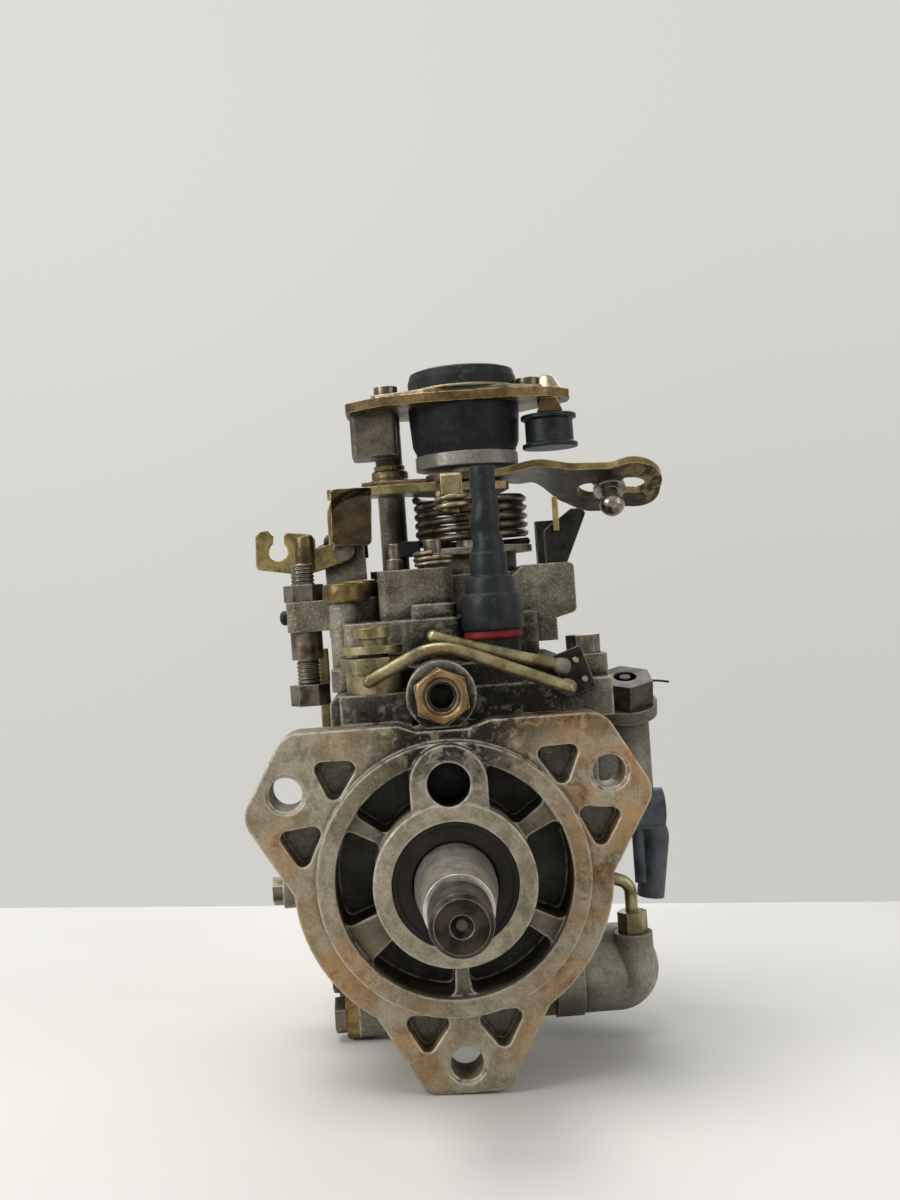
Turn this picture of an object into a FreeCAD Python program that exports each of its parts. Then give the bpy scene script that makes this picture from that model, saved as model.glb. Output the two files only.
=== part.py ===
import FreeCAD, Part
import math
import os
import re
import Sketcher

# Diesel injection pump of the rotary distributor kind, with its governor cover and throttle sensor.
# Millimetres. The drive shaft lies on the Y axis, the front of the pump faces -Y, Z is up, and the
# origin is the shaft's axis in the plane of the mounting flange.

SIZES = {
    # Mounting flange and front of the housing
    "flange_ring_radius": 40, "flange_thickness": 12, "lobe_reach": 54, "lobe_half_width": 10.3,
    "lobe_flank_u": 24, "lobe_flank_v": 27, "lobe_round": 4.5, "top_round": 6.5, "bolt_circle_radius": 46.8,
    "bolt_hole_radius": 4.2, "spot_face_radius": 5, "flange_top": 38.4, "flange_dip": 36.6, "dip_half": 11.5,
    "pilot_radius": 34, "pilot_height": 4, "window_outer_radius": 29.5,
    "window_floor": 10, "hub_radius": 20, "hub_reach": 10, "window_round": 1.8,
    "port_height": 24.4, "port_radius": 5.3, "port_boss_half": 9.5,
    "pocket_depth": 6.5, "pocket_round": 2, "pocket_outer_u": 45, "pocket_outer_v": 9.8,
    "pocket_inner_u": 34.6, "pocket_inner_v": 16,
    # Housing behind the flange
    "housing_end": 94, "barrel_radius": 38, "deck_height": 46, "deck_left": -29, "deck_right": 33,
    "deck_front": 14, "chamber_radius": 28.3, "cavity_left": -20, "cavity_right": 26,
    "cavity_front": 27, "cavity_back": 88, "inlet_boss_radius": 9, "inlet_mouth_radius": 3.9,
    "union_x": -17, "union_y": 17, "union_eye_radius": 7.4,
    # Drive shaft, key and seal
    "shaft_radius": 10, "shaft_end_radius": 8.5, "thread_radius": 7, "cone_small_radius": 8.1,
    "shaft_tip": -48, "cone_front": -33.8, "cone_back": -14, "shaft_step": 34, "shaft_back": 50,
    "key_width": 4, "key_length": 12, "key_floor": 5.5, "running_gap": 0.05, "seal_radius": 15.5,
    "seal_length": 7,
    # Feed pump
    "feed_front": 14, "feed_length": 10.2, "feed_chamber_radius": 26, "feed_rotor_radius": 15.5,
    "feed_bore_radius": 18.5, "feed_offset": 1.5, "feed_plate_thickness": 2.3, "vane_width": 2.4,
    # Gears and governor
    "gear_module": 1, "drive_teeth": 40, "governor_teeth": 28, "gear_front": 28, "gear_width": 6,
    "governor_height": 34, "governor_shaft_radius": 4, "governor_shaft_back": 57,
    "cage_radius": 15.5, "cage_disc_thickness": 2.5, "weight_width": 7, "weight_pivot_radius": 11,
    "weight_pivot_y": 38.5, "weight_pin_radius": 1.5, "sleeve_radius": 5.2, "sleeve_front": 40,
    "sleeve_back": 60, "lever_pivot_y": 84, "lever_pivot_z": 20, "lever_pin_radius": 2.5,
    "lever_thickness": 5, "spool_front": 82, "spool_length": 9, "spool_radius": 9,
    # Roller ring, cam plate and plunger
    "roller_ring_radius": 28, "roller_ring_bore": 14.5, "roller_ring_front": 51,
    "roller_ring_back": 63.5, "roller_radius": 4.2, "roller_centre_y": 62, "roller_inner": 16,
    "roller_length": 9.5, "cam_radius": 26, "cam_front": 68.7, "cam_back": 73, "cam_lift": 2.2,
    "plunger_radius": 5, "plunger_front": 75.5, "coupling_radius": 12,
    # Timer across the bottom
    "timer_y": 58, "timer_z": -43, "timer_boss_radius": 12.5, "timer_bore_radius": 9,
    "timer_left": -29, "timer_right": 28, "timer_piston_radius": 8.95, "timer_ball_radius": 3.4,
    "timer_plate_thickness": 3.5, "timer_pipe_x": 51.6, "timer_pipe_z": -14,
    # Distributor head
    "head_radius": 36, "head_end": 128, "valve_circle_radius": 19, "valve_thread_radius": 6,
    "valve_length": 26, "head_screw_circle": 34.2,
    # Governor cover
    "cover_notch_x": -7.5, "cover_notch_y": 25, "left_column_x": -25.2, "adjuster_x": -37, "post_x": -10,
    "post_radius": 1.7, "cover_front": 20, "cover_back": 92, "screw_radius": 2.5, "screw_gap": 0.05,
    # Throttle and its sensor
    "throttle_x": 14, "throttle_y": 72, "throttle_shaft_radius": 5, "stop_plate_thickness": 2.5,
    "lever_plate_thickness": 3, "lever_tilt": 30, "lever_end_y": 68.5, "neck_start_x": 28, "neck_end_x": 42,
    "slot_left": 47, "slot_right": 68, "slot_half": 4, "ball_x": 56.5, "ball_radius": 3.9, "ball_drop": 7.6,
    "sensor_radius": 16.5, "bobbin_height": 14.5,
    "bracket_thickness": 2.8, "bracket_upper_thickness": 1.5,
    "return_coil_radius": 16.2, "return_wire_radius": 1.2,
    # Outside fittings
    "pipe_radius": 1.65, "pipe_pad_side": 45, "pipe_pad_back": 31, "pipe_end_x": 32.7, "lower_pipe_y": 7.4,
    "upper_pipe_y": 11, "clip_y": 13, "boot_x": 15.5, "boot_y": 26.5, "stand_x": -10, "stand_y": 80,
    "solenoid_y": 116, "cold_pivot_x": -25, "cold_plate_y": 63, "side_valve_x": 58, "side_valve_y": 76,
    "side_valve_top": 30, "side_plug_tilt": 19,
}

# Heights and depths that follow other sizes, so that the pieces stay stacked when one of them changes
FOLLOWS = {
    "inlet_height": "deck_height - 1.2", "cover_flange_top": "deck_height + 6",
    "cover_shoulder": "deck_height + 18",
    "cover_block_top": "deck_height + 32", "ear_bottom": "cover_shoulder - 1.5",
    "ear_top": "cover_shoulder + 7.2",
    "left_column_top": "cover_shoulder + 6", "right_boss_top": "cover_shoulder + 13.5",
    "cold_pivot_z": "cover_shoulder + 21.5", "throttle_boss_top": "deck_height + 38",
    "stop_plate_z": "throttle_boss_top + 17", "lever_z": "stop_plate_z + stop_plate_thickness + 0.5",
    "lever_end_z": "lever_z - 3", "sensor_ring_z": "lever_z + lever_plate_thickness + 1.5",
    "sensor_z": "sensor_ring_z + 4", "bracket_z": "sensor_z + 14.5", "plunger_back": "head_end - 6.5",
}

FACING = {
    "Z": "vector(0;0;1); 0", "-Z": "vector(1;0;0); 180", "Y": "vector(1;0;0); -90",
    "-Y": "vector(1;0;0); 90", "X": "vector(1;1;1); 120", "-X": "vector(0;1;0); -90",
}

doc = FreeCAD.newDocument("diesel_injection_pump")
sheet = doc.addObject("Spreadsheet::Sheet", "sizes")
for row, (alias, value) in enumerate(SIZES.items(), start=1):
    sheet.set(f"A{row}", alias)
    sheet.set(f"B{row}", str(value))
    sheet.setAlias(f"B{row}", alias)
doc.recompute()

nodes = []


def linked(text):
    """The expression with the sheet's name in front of each size, and followers written out."""
    def swap(word):
        if word[0] in FOLLOWS:
            return f"({linked(FOLLOWS[word[0]])})"
        return "sizes." + word[0] if word[0] in SIZES else word[0]
    return re.sub(r"[a-z][a-z_]*", swap, str(text))


def worked_out(text):
    """The number that an expression gives now, for a sketch's first drawing."""
    result = sheet.evalExpression(linked(text))
    return float(getattr(result, "Value", result))


def tie(thing, prop, text):
    thing.setExpression(prop, linked(text))


def place(thing, at=(0, 0, 0), facing="Z", spin=0, orbit=0, lean=None):
    """Seat a shape: its own Z turned to a facing, then moved, then swung round the shaft's axis."""
    turn = FACING.get(facing, facing)
    text = f"placement(vector({at[0]};{at[1]};{at[2]}); rotation({turn}))"
    if lean:
        text += f" * placement(vector(0;0;0); rotation({lean}))"
    if spin:
        text += f" * placement(vector(0;0;0); rotation(vector(0;0;1); {spin}))"
    if orbit:
        text = f"placement(vector(0;0;0); rotation(vector(0;1;0); {orbit})) * {text}"
    tie(thing, "Placement", text)
    return thing


def rod(name, radius, length, at, facing="Z", **more):
    thing = doc.addObject("Part::Cylinder", name)
    tie(thing, "Radius", radius)
    tie(thing, "Height", length)
    return place(thing, at, facing, **more)


def cone(name, near_radius, far_radius, length, at, facing="Z", **more):
    thing = doc.addObject("Part::Cone", name)
    tie(thing, "Radius1", near_radius)
    tie(thing, "Radius2", far_radius)
    tie(thing, "Height", length)
    return place(thing, at, facing, **more)


def block(name, low, high, **more):
    """A box between two corners."""
    thing = doc.addObject("Part::Box", name)
    for prop, start, end in zip(("Length", "Width", "Height"), low, high):
        tie(thing, prop, f"({end}) - ({start})")
    return place(thing, low, **more)


def hexagon(name, across_flats, length, at, facing="Z", **more):
    thing = doc.addObject("Part::Prism", name)
    thing.Polygon = 6
    tie(thing, "Circumradius", f"({across_flats}) / {math.sqrt(3):.6f}")
    tie(thing, "Height", length)
    return place(thing, at, facing, **more)


def ball(name, radius, at):
    thing = doc.addObject("Part::Sphere", name)
    tie(thing, "Radius", radius)
    return place(thing, at)


def outline(name, points, owner=None):
    """A closed sketch whose every corner is tied to its own pair of expressions."""
    maker = owner.newObject if owner else doc.addObject
    sketch = maker("Sketcher::SketchObject", name)
    drawn = [FreeCAD.Vector(worked_out(x), worked_out(y), 0) for x, y in points]
    for start, end in zip(drawn, drawn[1:] + drawn[:1]):
        sketch.addGeometry(Part.LineSegment(start, end), False)
    count = len(points)
    for index in range(count):
        sketch.addConstraint(Sketcher.Constraint("Coincident", index, 2, (index + 1) % count, 1))
    for index, (pair, spot) in enumerate(zip(points, drawn)):
        for kind, text, first in (("DistanceX", pair[0], spot.x), ("DistanceY", pair[1], spot.y)):
            made = sketch.addConstraint(Sketcher.Constraint(kind, -1, 1, index, 1, first))
            tie(sketch, f"Constraints[{made}]", text)
    return sketch


def plate(name, points, thickness, at=(0, 0, 0), facing="Z", **more):
    """An outline drawn out to a thickness."""
    thing = doc.addObject("Part::Extrusion", name)
    thing.Base = outline(name + "_outline", points)
    thing.DirMode = "Normal"
    thing.Solid = True
    thing.FaceMakerClass = "Part::FaceMakerBullseye"
    tie(thing, "LengthFwd", thickness)
    return place(thing, at, facing, **more)


def turned(name, points, at=(0, 0, 0), facing="Z", **more):
    """A lathe-turned piece: points are (radius, distance along its axis)."""
    thing = doc.addObject("Part::Revolution", name)
    thing.Source = outline(name + "_outline", points)
    thing.Axis = FreeCAD.Vector(0, 1, 0)
    thing.Angle = 360
    thing.Solid = True
    thing.FaceMakerClass = "Part::FaceMakerBullseye"
    return place(thing, at, facing, lean="vector(1;0;0); 90", **more)


def joined(name, pieces):
    thing = doc.addObject("Part::MultiFuse", name)
    thing.Shapes = pieces
    thing.Refine = True
    return thing


def grouped(name, pieces):
    """Separate solids of one node, such as a set of identical screws."""
    thing = doc.addObject("Part::Compound", name)
    thing.Links = pieces
    return thing


def cut(name, base, tools):
    thing = doc.addObject("Part::Cut", name)
    thing.Base = base
    thing.Tool = tools[0] if len(tools) == 1 else joined(name + "_tools", tools)
    thing.Refine = True
    return thing


def rounded(name, base, radius, chosen):
    """A body that carries the base shape with a fillet on the chosen edges."""
    doc.recompute()
    body = doc.addObject("PartDesign::Body", name)
    body.BaseFeature = base
    doc.recompute()
    start = body.Group[0]
    fillet = body.newObject("PartDesign::Fillet", name + "_fillet")
    picked = [f"Edge{number}" for number, edge in enumerate(start.Shape.Edges, start=1) if chosen(edge)]
    fillet.Base = (start, picked)
    tie(fillet, "Radius", radius)
    tie(body, "Placement", f"{base.Name}.Placement")
    body.Tip = fillet
    return body


def upright(edge):
    """True for an edge along the direction that a plate was drawn out in."""
    return len(edge.Vertexes) == 2 and abs(edge.tangentAt(edge.FirstParameter).z) > 0.99


def along_y(edge):
    """True for an upper edge of a block that runs from front to back."""
    return len(edge.Vertexes) == 2 and abs(edge.tangentAt(edge.FirstParameter).y) > 0.99 and edge.Vertexes[0].Z > 20


def along_x(edge):
    """True for an edge of a block that lies across the pump."""
    return len(edge.Vertexes) == 2 and abs(edge.tangentAt(edge.FirstParameter).x) > 0.99


def deep(edge):
    """True for an edge that runs straight back from the front of the pump."""
    return len(edge.Vertexes) == 2 and abs(edge.tangentAt(edge.FirstParameter).y) > 0.99


def coil(name, radius, wire, length, turns, at, facing="Z", sides=8, **more):
    """A helical spring of round wire, ends included in its length."""
    path = doc.addObject("Part::Helix", name + "_path")
    tie(path, "Radius", radius)
    tie(path, "Height", f"({length}) - 2 * ({wire})")
    tie(path, "Pitch", f"(({length}) - 2 * ({wire})) / ({turns})")
    section = doc.addObject("Part::RegularPolygon", name + "_section")
    section.Polygon = sides
    tie(section, "Circumradius", wire)
    place(section, (radius, 0, 0), "-Y")
    sweep = doc.addObject("Part::Sweep", name + "_sweep")
    sweep.Sections = [section]
    sweep.Spine = (path, [])
    sweep.Solid = True
    sweep.Frenet = True
    thing = doc.addObject("Part::Compound", name)
    thing.Links = [sweep]
    axis = {"X": (1, 0, 0), "Y": (0, 1, 0), "Z": (0, 0, 1)}[facing]
    lifted = [f"({place_}) + {step} * ({wire})" for place_, step in zip(at, axis)]
    return place(thing, lifted, facing, **more)


def bent_tube(name, start, corner, end, bend, radius, depth):
    """A tube of two straight runs with a round bend between them, drawn across the pump as (X, Z)."""
    first, turn, last = [FreeCAD.Vector(worked_out(x), worked_out(z), 0) for x, z in (start, corner, end)]
    back = (first - turn).normalize()
    ahead = (last - turn).normalize()
    half = back.getAngle(ahead) / 2
    middle = (back + ahead).normalize()
    near = turn + back * (worked_out(bend) / math.tan(half))
    far = turn + ahead * (worked_out(bend) / math.tan(half))
    crown = turn + middle * (worked_out(bend) / math.sin(half) - worked_out(bend))
    arc = Part.Arc(near, crown, far).toShape()
    route = doc.addObject("Sketcher::SketchObject", name + "_route")
    route.addGeometry(Part.LineSegment(first, near), False)
    route.addGeometry(Part.ArcOfCircle(arc.Curve, *arc.ParameterRange), False)
    route.addGeometry(Part.LineSegment(far, last), False)
    profile = doc.addObject("Part::Circle", name + "_profile")
    tie(profile, "Radius", radius)
    profile.Placement = FreeCAD.Placement(first, FreeCAD.Rotation(FreeCAD.Vector(0, 0, 1), turn - first))
    sweep = doc.addObject("Part::Sweep", name + "_sweep")
    sweep.Sections = [profile]
    sweep.Spine = (route, [])
    sweep.Solid = True
    thing = doc.addObject("Part::Compound", name + "_bend")
    thing.Links = [sweep]
    return place(thing, (0, depth, 0), "-Y")


def node(label, thing):
    """Name a finished sub-part for its file."""
    thing.Label = label
    nodes.append(thing)
    return thing


def screw(name, at, facing, head_flats, head_height, shank_radius, shank_length):
    """A hexagon-headed screw: its seat is at the given place, its head stands out along the facing."""
    head = hexagon(name + "_head", head_flats, head_height, at, facing)
    opposite = facing[1:] if facing.startswith("-") else "-" + facing
    shank = rod(name + "_shank", shank_radius, shank_length, at, opposite)
    return joined(name, [head, shank])


# Where the cover's and the timer plate's screws stand
COVER_SCREW_SPOTS = (
    ("left_column_x", 37, "left_column_top"), ("pipe_pad_side - 5.5", 25.5, "cover_flange_top"),
    ("deck_left + 4.8", 90.2, "cover_flange_top"), ("deck_right - 4.8", 90.2, "cover_flange_top"),
)
TIMER_SCREW_SPOTS = ((-11, -4.5), (11, -4.5), (-11, 7), (11, 7))

# The angles that the six windows round the hub span
WINDOW_SPANS = ((36, 70), (108, 144), (152, 201), (221, 266.5), (275, 323), (334.5, 385.5))


# Housing

def lobe(number):
    """One fixing lobe of the flange, drawn towards +X and swung to its bolt hole.

    The lower lobe is even; each upper one runs on into the flange's straight top.
    """
    points = [
        (0, 0), ("lobe_flank_u", "lobe_flank_v"), ("lobe_reach", "lobe_half_width"),
        ("lobe_reach", "-lobe_half_width"), ("lobe_flank_u", "-lobe_flank_v"),
    ]
    if number:
        points[3:] = [("lobe_reach", "(lobe_reach / 2 - flange_top) / cos(30)"),
                      ("flange_top / 2", "-flange_top * cos(30)")]
    if number == 2:
        points = [(u, f"-({v})") for u, v in points]
    raw = plate(f"lobe_{number}_raw", points, "flange_thickness", (0, "flange_thickness", 0), "-Y",
                orbit=f"90 + 120 * {number}")
    far = SIZES["lobe_reach"] - 1
    corner = "top_round" if number else "lobe_round"
    return rounded(f"lobe_{number}", raw, corner, lambda edge: upright(edge) and edge.Vertexes[0].X > far)


def lobe_pocket(number, side):
    """A three-cornered lightening pocket beside a bolt hole."""
    points = [("pocket_outer_u", f"{side} * pocket_outer_v"),
              ("pocket_inner_u - 1", f"{side} * pocket_inner_v"),
              ("pocket_inner_u", f"{side} * 2")]
    raw = plate(f"pocket_{number}_{side + 1}_raw", points, "pocket_depth + 1", (0, "pocket_depth", 0), "-Y",
                orbit=f"90 + 120 * {number}")
    return rounded(f"pocket_{number}_{side + 1}", raw, "pocket_round", upright)


def bolt_spot(number, depth):
    """Where a flange bolt's axis crosses a given depth, with the swing that takes it there."""
    return ("bolt_circle_radius", depth, 0), f"90 + 120 * {number}"


def housing_outside():
    parts = [rod("flange_ring", "flange_ring_radius", "flange_thickness", (0, 0, 0), "Y")]
    parts += [lobe(number) for number in range(3)]
    dip = [
        ("-dip_half", "flange_top"), (-7, "flange_dip"), (6, "flange_dip"), ("dip_half", "flange_top"),
        ("dip_half", 50), ("-dip_half", 50),
    ]
    over = plate("flange_dip_tool", dip, "flange_thickness + 2", (0, "flange_thickness + 1", 0), "-Y")
    flange = cut("flange_blank", joined("flange_rough", parts), [over])
    pilot = rod("pilot", "pilot_radius", "pilot_height + 2", (0, "-pilot_height", 0), "Y")
    barrel = rod("barrel", "barrel_radius", "housing_end - 8", (0, 8, 0), "Y")
    deck = plate(
        "deck",
        [("deck_left", 0), ("deck_right", 0), ("deck_right", "deck_height"), ("deck_left", "deck_height")],
        "housing_end - deck_front", (0, "housing_end", 0), "-Y",
    )
    deck = rounded("deck_block", deck, 3, lambda edge: upright(edge) and edge.Vertexes[0].Y > 40)
    inlet = rod("inlet_boss", "inlet_boss_radius", "deck_front - 6", (0, 6, "inlet_height"), "Y")
    union_pad = block("union_pad", ("union_x - 9", "union_y - 7", 36),
                      ("union_x + 9", "deck_front + 1", "deck_height"))
    timer = rod("timer_boss", "timer_boss_radius", "timer_right - timer_left",
                ("timer_left", "timer_y", "timer_z"), "X")
    timer_web = block("timer_web", ("timer_left + 6", "timer_y - 12", "timer_z"),
                      ("timer_right - 6", "timer_y + 12", -20))
    side = block("valve_pad", (30, 66, 3), (47, 86, 25))
    pad = block("pipe_pad", (28, "deck_front", 36), ("pipe_pad_side", "pipe_pad_back", "deck_height"))
    stub = rod("timer_pipe_boss", 5, 9, (30, 50, "timer_pipe_z"), "X")
    end = block("timer_end", ("timer_left", "timer_y - 15", "timer_z - 11"),
                ("timer_left + 7", "timer_y + 15", "timer_z + 11"))
    end = rounded("timer_end_pad", end, 3, along_x)
    lug = rod("left_lug", 5, 14, (-48, 48, -11), "X")
    return joined("housing_outside", [flange, pilot, barrel, deck, inlet, union_pad, timer, timer_web, side,
                                      lug, pad, end, stub])


def window(number, start, end):
    """A rounded opening between two ribs, from one angle to another, counted from +X towards +Z."""
    depth = "window_floor + 2"
    ring = rod(f"window_{number}_ring", "window_outer_radius", depth, (0, "window_floor", 0), "-Y")
    core = rod(f"window_{number}_core", "hub_radius", depth, (0, "window_floor", 0), "-Y")
    sides = [(0, 0)] + [(f"flange_ring_radius * cos({turn})", f"flange_ring_radius * sin({turn})")
                        for turn in (start, end)]
    wedge = plate(f"window_{number}_wedge", sides, depth, (0, "window_floor", 0), "-Y")
    sector = doc.addObject("Part::MultiCommon", f"window_{number}_sector")
    sector.Shapes = [cut(f"window_{number}_hoop", ring, [core]), wedge]
    return rounded(f"window_{number}", sector, "window_round", deep)


def housing_front():
    """Windows round the hub with ribs between them, and the arched port boss above."""
    tools = [rod("window_well", "window_outer_radius", "pilot_height", (0, "-pilot_height - 1", 0), "Y")]
    tools += [window(number, *span) for number, span in enumerate(WINDOW_SPANS)]
    shell = cut("housing_shell", housing_outside(), tools)
    hub = rod("hub", "hub_radius", "hub_reach + window_floor", (0, "-hub_reach", 0), "Y")
    length = "hub_reach - 1 + window_floor"
    arch = rod("port_arch", "port_boss_half", length, (0, "window_floor", "port_height"), "-Y")
    legs = block("port_legs", ("-port_boss_half", "1 - hub_reach", 8),
                 ("port_boss_half", "window_floor", "port_height"))
    return joined("housing_front", [shell, hub, arch, legs])


def pump_housing():
    tools = [
        rod("seal_bore", "seal_radius", "seal_length + 1", (0, "-hub_reach - 1", 0), "Y"),
        rod("journal_bore", "shaft_radius + running_gap", 30, (0, -11, 0), "Y"),
        rod("feed_chamber", "feed_chamber_radius", "cavity_front - feed_front", (0, "feed_front", 0), "Y"),
        rod("cam_chamber", "chamber_radius", "housing_end - cavity_front + 1", (0, "cavity_front", 0), "Y"),
        block("top_cavity", ("cavity_left", "cavity_front", 0),
              ("cavity_right", "cavity_back", "deck_height + 1")),
        rod("timer_bore", "timer_bore_radius", "timer_right - timer_left + 2",
            ("timer_left - 1", "timer_y", "timer_z"), "X"),
        block("timer_slot", (-14, "timer_y - 5", "timer_z"), (14, "timer_y + 5", -20)),
        rod("governor_seat", "governor_shaft_radius", 20, (0, 16, "governor_height"), "Y"),
        rod("lever_seats", "lever_pin_radius + running_gap", "cavity_right - cavity_left + 7",
            ("cavity_left - 3.5", "lever_pivot_y", "lever_pivot_z"), "X"),
        rod("port", "port_radius", "hub_reach + 6", (0, "-hub_reach", "port_height"), "Y"),
        rod("inlet_bore", 4.5, 14, (0, 5, "inlet_height"), "Y"),
        rod("left_lug_bore", 2.5, 10, (-49, 48, -11), "X"),
        rod("union_seat", "screw_radius + screw_gap", 12, ("union_x", "union_y", "deck_height - 11"), "Z"),
    ]
    for number in range(3):
        spot, swing = bolt_spot(number, -1)
        tools.append(rod(f"bolt_hole_{number}", "bolt_hole_radius", "flange_thickness + 2", spot, "Y",
                         orbit=swing))
        tools.append(rod(f"spot_face_{number}", "spot_face_radius", 1.5, spot, "Y", orbit=swing))
        tools.append(lobe_pocket(number, -1))
        tools.append(lobe_pocket(number, 1))
    for number, (across, up) in enumerate(TIMER_SCREW_SPOTS):
        spot = ("timer_left - 1", f"timer_y + {across}", f"timer_z + {up}")
        tools.append(rod(f"timer_hole_{number}", "screw_radius + screw_gap", 7, spot, "X"))
    for number, (x, y, seat) in enumerate(COVER_SCREW_SPOTS):
        tools.append(rod(f"cover_hole_{number}", "screw_radius + screw_gap", 17,
                         (x, y, "deck_height - 16"), "Z"))
    for number in range(4):
        tools.append(rod(f"head_hole_{number}", "screw_radius + screw_gap", 9,
                         ("head_screw_circle", "housing_end - 8", 0),
                         "Y", orbit=f"45 + 90 * {number}"))
    node("pump_housing", cut("pump_housing", housing_front(), tools))


# Drive shaft train

def drive_shaft():
    profile = [
        (0, "shaft_tip"), ("thread_radius - 1", "shaft_tip"), ("thread_radius", "shaft_tip + 1"),
        ("thread_radius", "cone_front - 1.6"), ("thread_radius - 0.9", "cone_front - 1.2"),
        ("thread_radius - 0.9", "cone_front"), ("cone_small_radius", "cone_front"),
        ("shaft_radius", "cone_back"), ("shaft_radius", "shaft_step"), ("shaft_end_radius", "shaft_step"),
        ("shaft_end_radius", "shaft_back"), (0, "shaft_back"),
    ]
    bar = turned("shaft_bar", profile, facing="Y")
    jaws = []
    for side in (-1, 1):
        jaws.append(block(f"shaft_jaw_{side + 1}", (f"{side} * 5.5 - 2.5", "shaft_back - 2", -3),
                          (f"{side} * 5.5 + 2.5", "shaft_back + 4.5", 3)))
    centre = cone("centre_drill", 2.6, 0.2, 3, (0, "shaft_tip", 0), "Y")
    keyway = block("keyway", ("-key_width / 2", "cone_back - 3 - key_length", -12),
                   ("key_width / 2", "cone_back - 3", "-key_floor"))
    node("drive_shaft", cut("drive_shaft", joined("shaft_blank", [bar] + jaws), [centre, keyway]))


def shaft_key():
    key = block("key_block", ("-key_width / 2", "cone_back - 3 - key_length", -11),
                ("key_width / 2", "cone_back - 3", "-key_floor"))
    node("shaft_key", rounded("shaft_key", key, 0.8, lambda edge: upright(edge)))


def shaft_seal():
    profile = [
        ("shaft_radius + running_gap", 2.4), ("shaft_radius + 1", 0.6), ("shaft_radius + 2.2", 1.8),
        ("seal_radius - 2", 1.8), ("seal_radius - 1.6", 0), ("seal_radius", 0),
        ("seal_radius", "seal_length"), ("shaft_radius + 0.8", "seal_length"),
        ("shaft_radius + 0.8", 4), ("shaft_radius + running_gap", 3.4),
    ]
    node("shaft_seal", turned("shaft_seal", profile, (0, "-hub_reach", 0), "Y"))


def feed_pump():
    ring = cut("feed_ring", rod("feed_ring_blank", "feed_chamber_radius - 0.1", "feed_length",
                                (0, "feed_front", 0), "Y"),
               [rod("feed_ring_bore", "feed_bore_radius", "feed_length + 2",
                    ("feed_offset", "feed_front - 1", 0), "Y")])
    node("feed_pump_ring", ring)
    slots = []
    vanes = []
    for number in range(4):
        slots.append(block(f"vane_slot_{number}", (11, "feed_front", "-vane_width / 2"),
                           (20, "feed_front + feed_length + 1", "vane_width / 2"),
                           orbit=f"90 * {number} + 0.001"))
        vanes.append(block(f"vane_{number}", (11, "feed_front + 0.2", "0.05 - vane_width / 2"),
                           ("feed_rotor_radius + 1.3", "feed_front + feed_length - 0.2",
                            "vane_width / 2 - 0.05"),
                           orbit=f"90 * {number} + 0.001"))
    blank = rod("feed_rotor_blank", "feed_rotor_radius", "feed_length - 0.4", (0, "feed_front + 0.2", 0), "Y")
    bore = rod("feed_rotor_bore", "shaft_radius", "feed_length + 2", (0, "feed_front - 1", 0), "Y")
    node("feed_pump_rotor", cut("feed_pump_rotor", blank, [bore] + slots))
    node("feed_pump_vanes", grouped("feed_pump_vanes", vanes))
    cover = rod("feed_plate_blank", "feed_chamber_radius - 0.1", "feed_plate_thickness",
                (0, "feed_front + feed_length", 0), "Y")
    hole = rod("feed_plate_bore", "shaft_radius + 0.4", 6, (0, "feed_front + feed_length - 1", 0), "Y")
    node("feed_pump_plate", cut("feed_pump_plate", cover, [hole]))


def gear(name, teeth, bore, at, phase):
    """A spur gear: a disc with one tooth gap pocketed and repeated round it."""
    body = doc.addObject("PartDesign::Body", name)
    outer = f"gear_module * ({teeth} + 2) / 2"
    root = f"gear_module * ({teeth} - 2.5) / 2"
    plane = [item for item in body.Origin.OriginFeatures if item.Role == "XY_Plane"][0]
    disc = body.newObject("Sketcher::SketchObject", name + "_disc")
    disc.AttachmentSupport = [(plane, "")]
    disc.MapMode = "FlatFace"
    for radius in (outer, bore):
        number = disc.addGeometry(Part.Circle(FreeCAD.Vector(), FreeCAD.Vector(0, 0, 1),
                                              worked_out(radius)), False)
        disc.addConstraint(Sketcher.Constraint("Coincident", number, 3, -1, 1))
        made = disc.addConstraint(Sketcher.Constraint("Radius", number, worked_out(radius)))
        tie(disc, f"Constraints[{made}]", radius)
    pad = body.newObject("PartDesign::Pad", name + "_pad")
    pad.Profile = disc
    tie(pad, "Length", "gear_width")
    gap = outline(name + "_gap", [
        ("-1.4 * gear_module", f"{outer} + 1"), ("-0.62 * gear_module", root),
        ("0.62 * gear_module", root), ("1.4 * gear_module", f"{outer} + 1"),
    ], body)
    gap.AttachmentSupport = [(plane, "")]
    gap.MapMode = "FlatFace"
    pocket = body.newObject("PartDesign::Pocket", name + "_pocket")
    pocket.Profile = gap
    pocket.Type = 1
    pocket.Midplane = True
    around = body.newObject("PartDesign::PolarPattern", name + "_around")
    around.Originals = [pocket]
    around.Axis = (gap, ["N_Axis"])
    around.Angle = 360
    tie(around, "Occurrences", teeth)
    body.Tip = around
    return place(body, at, "-Y", spin=phase)


def cross_coupling():
    """The floating disc between the shaft's jaws and the cam plate's."""
    disc = rod("coupling_disc", "coupling_radius", 8, (0, "shaft_back + 0.3", 0), "Y")
    tools = []
    for side in (-1, 1):
        tools.append(block(f"coupling_front_{side + 1}", (f"{side} * 6.5 - 3.7", "shaft_back - 1", -3.05),
                           (f"{side} * 6.5 + 3.7", "shaft_back + 4.8", 3.05)))
        tools.append(block(f"coupling_back_{side + 1}", (-3.05, "shaft_back + 4.8", f"{side} * 6.5 - 3.7"),
                           (3.05, "shaft_back + 9.5", f"{side} * 6.5 + 3.7")))
    node("cross_coupling", cut("cross_coupling", disc, tools))


# Cam plate, rollers and plunger

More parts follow.
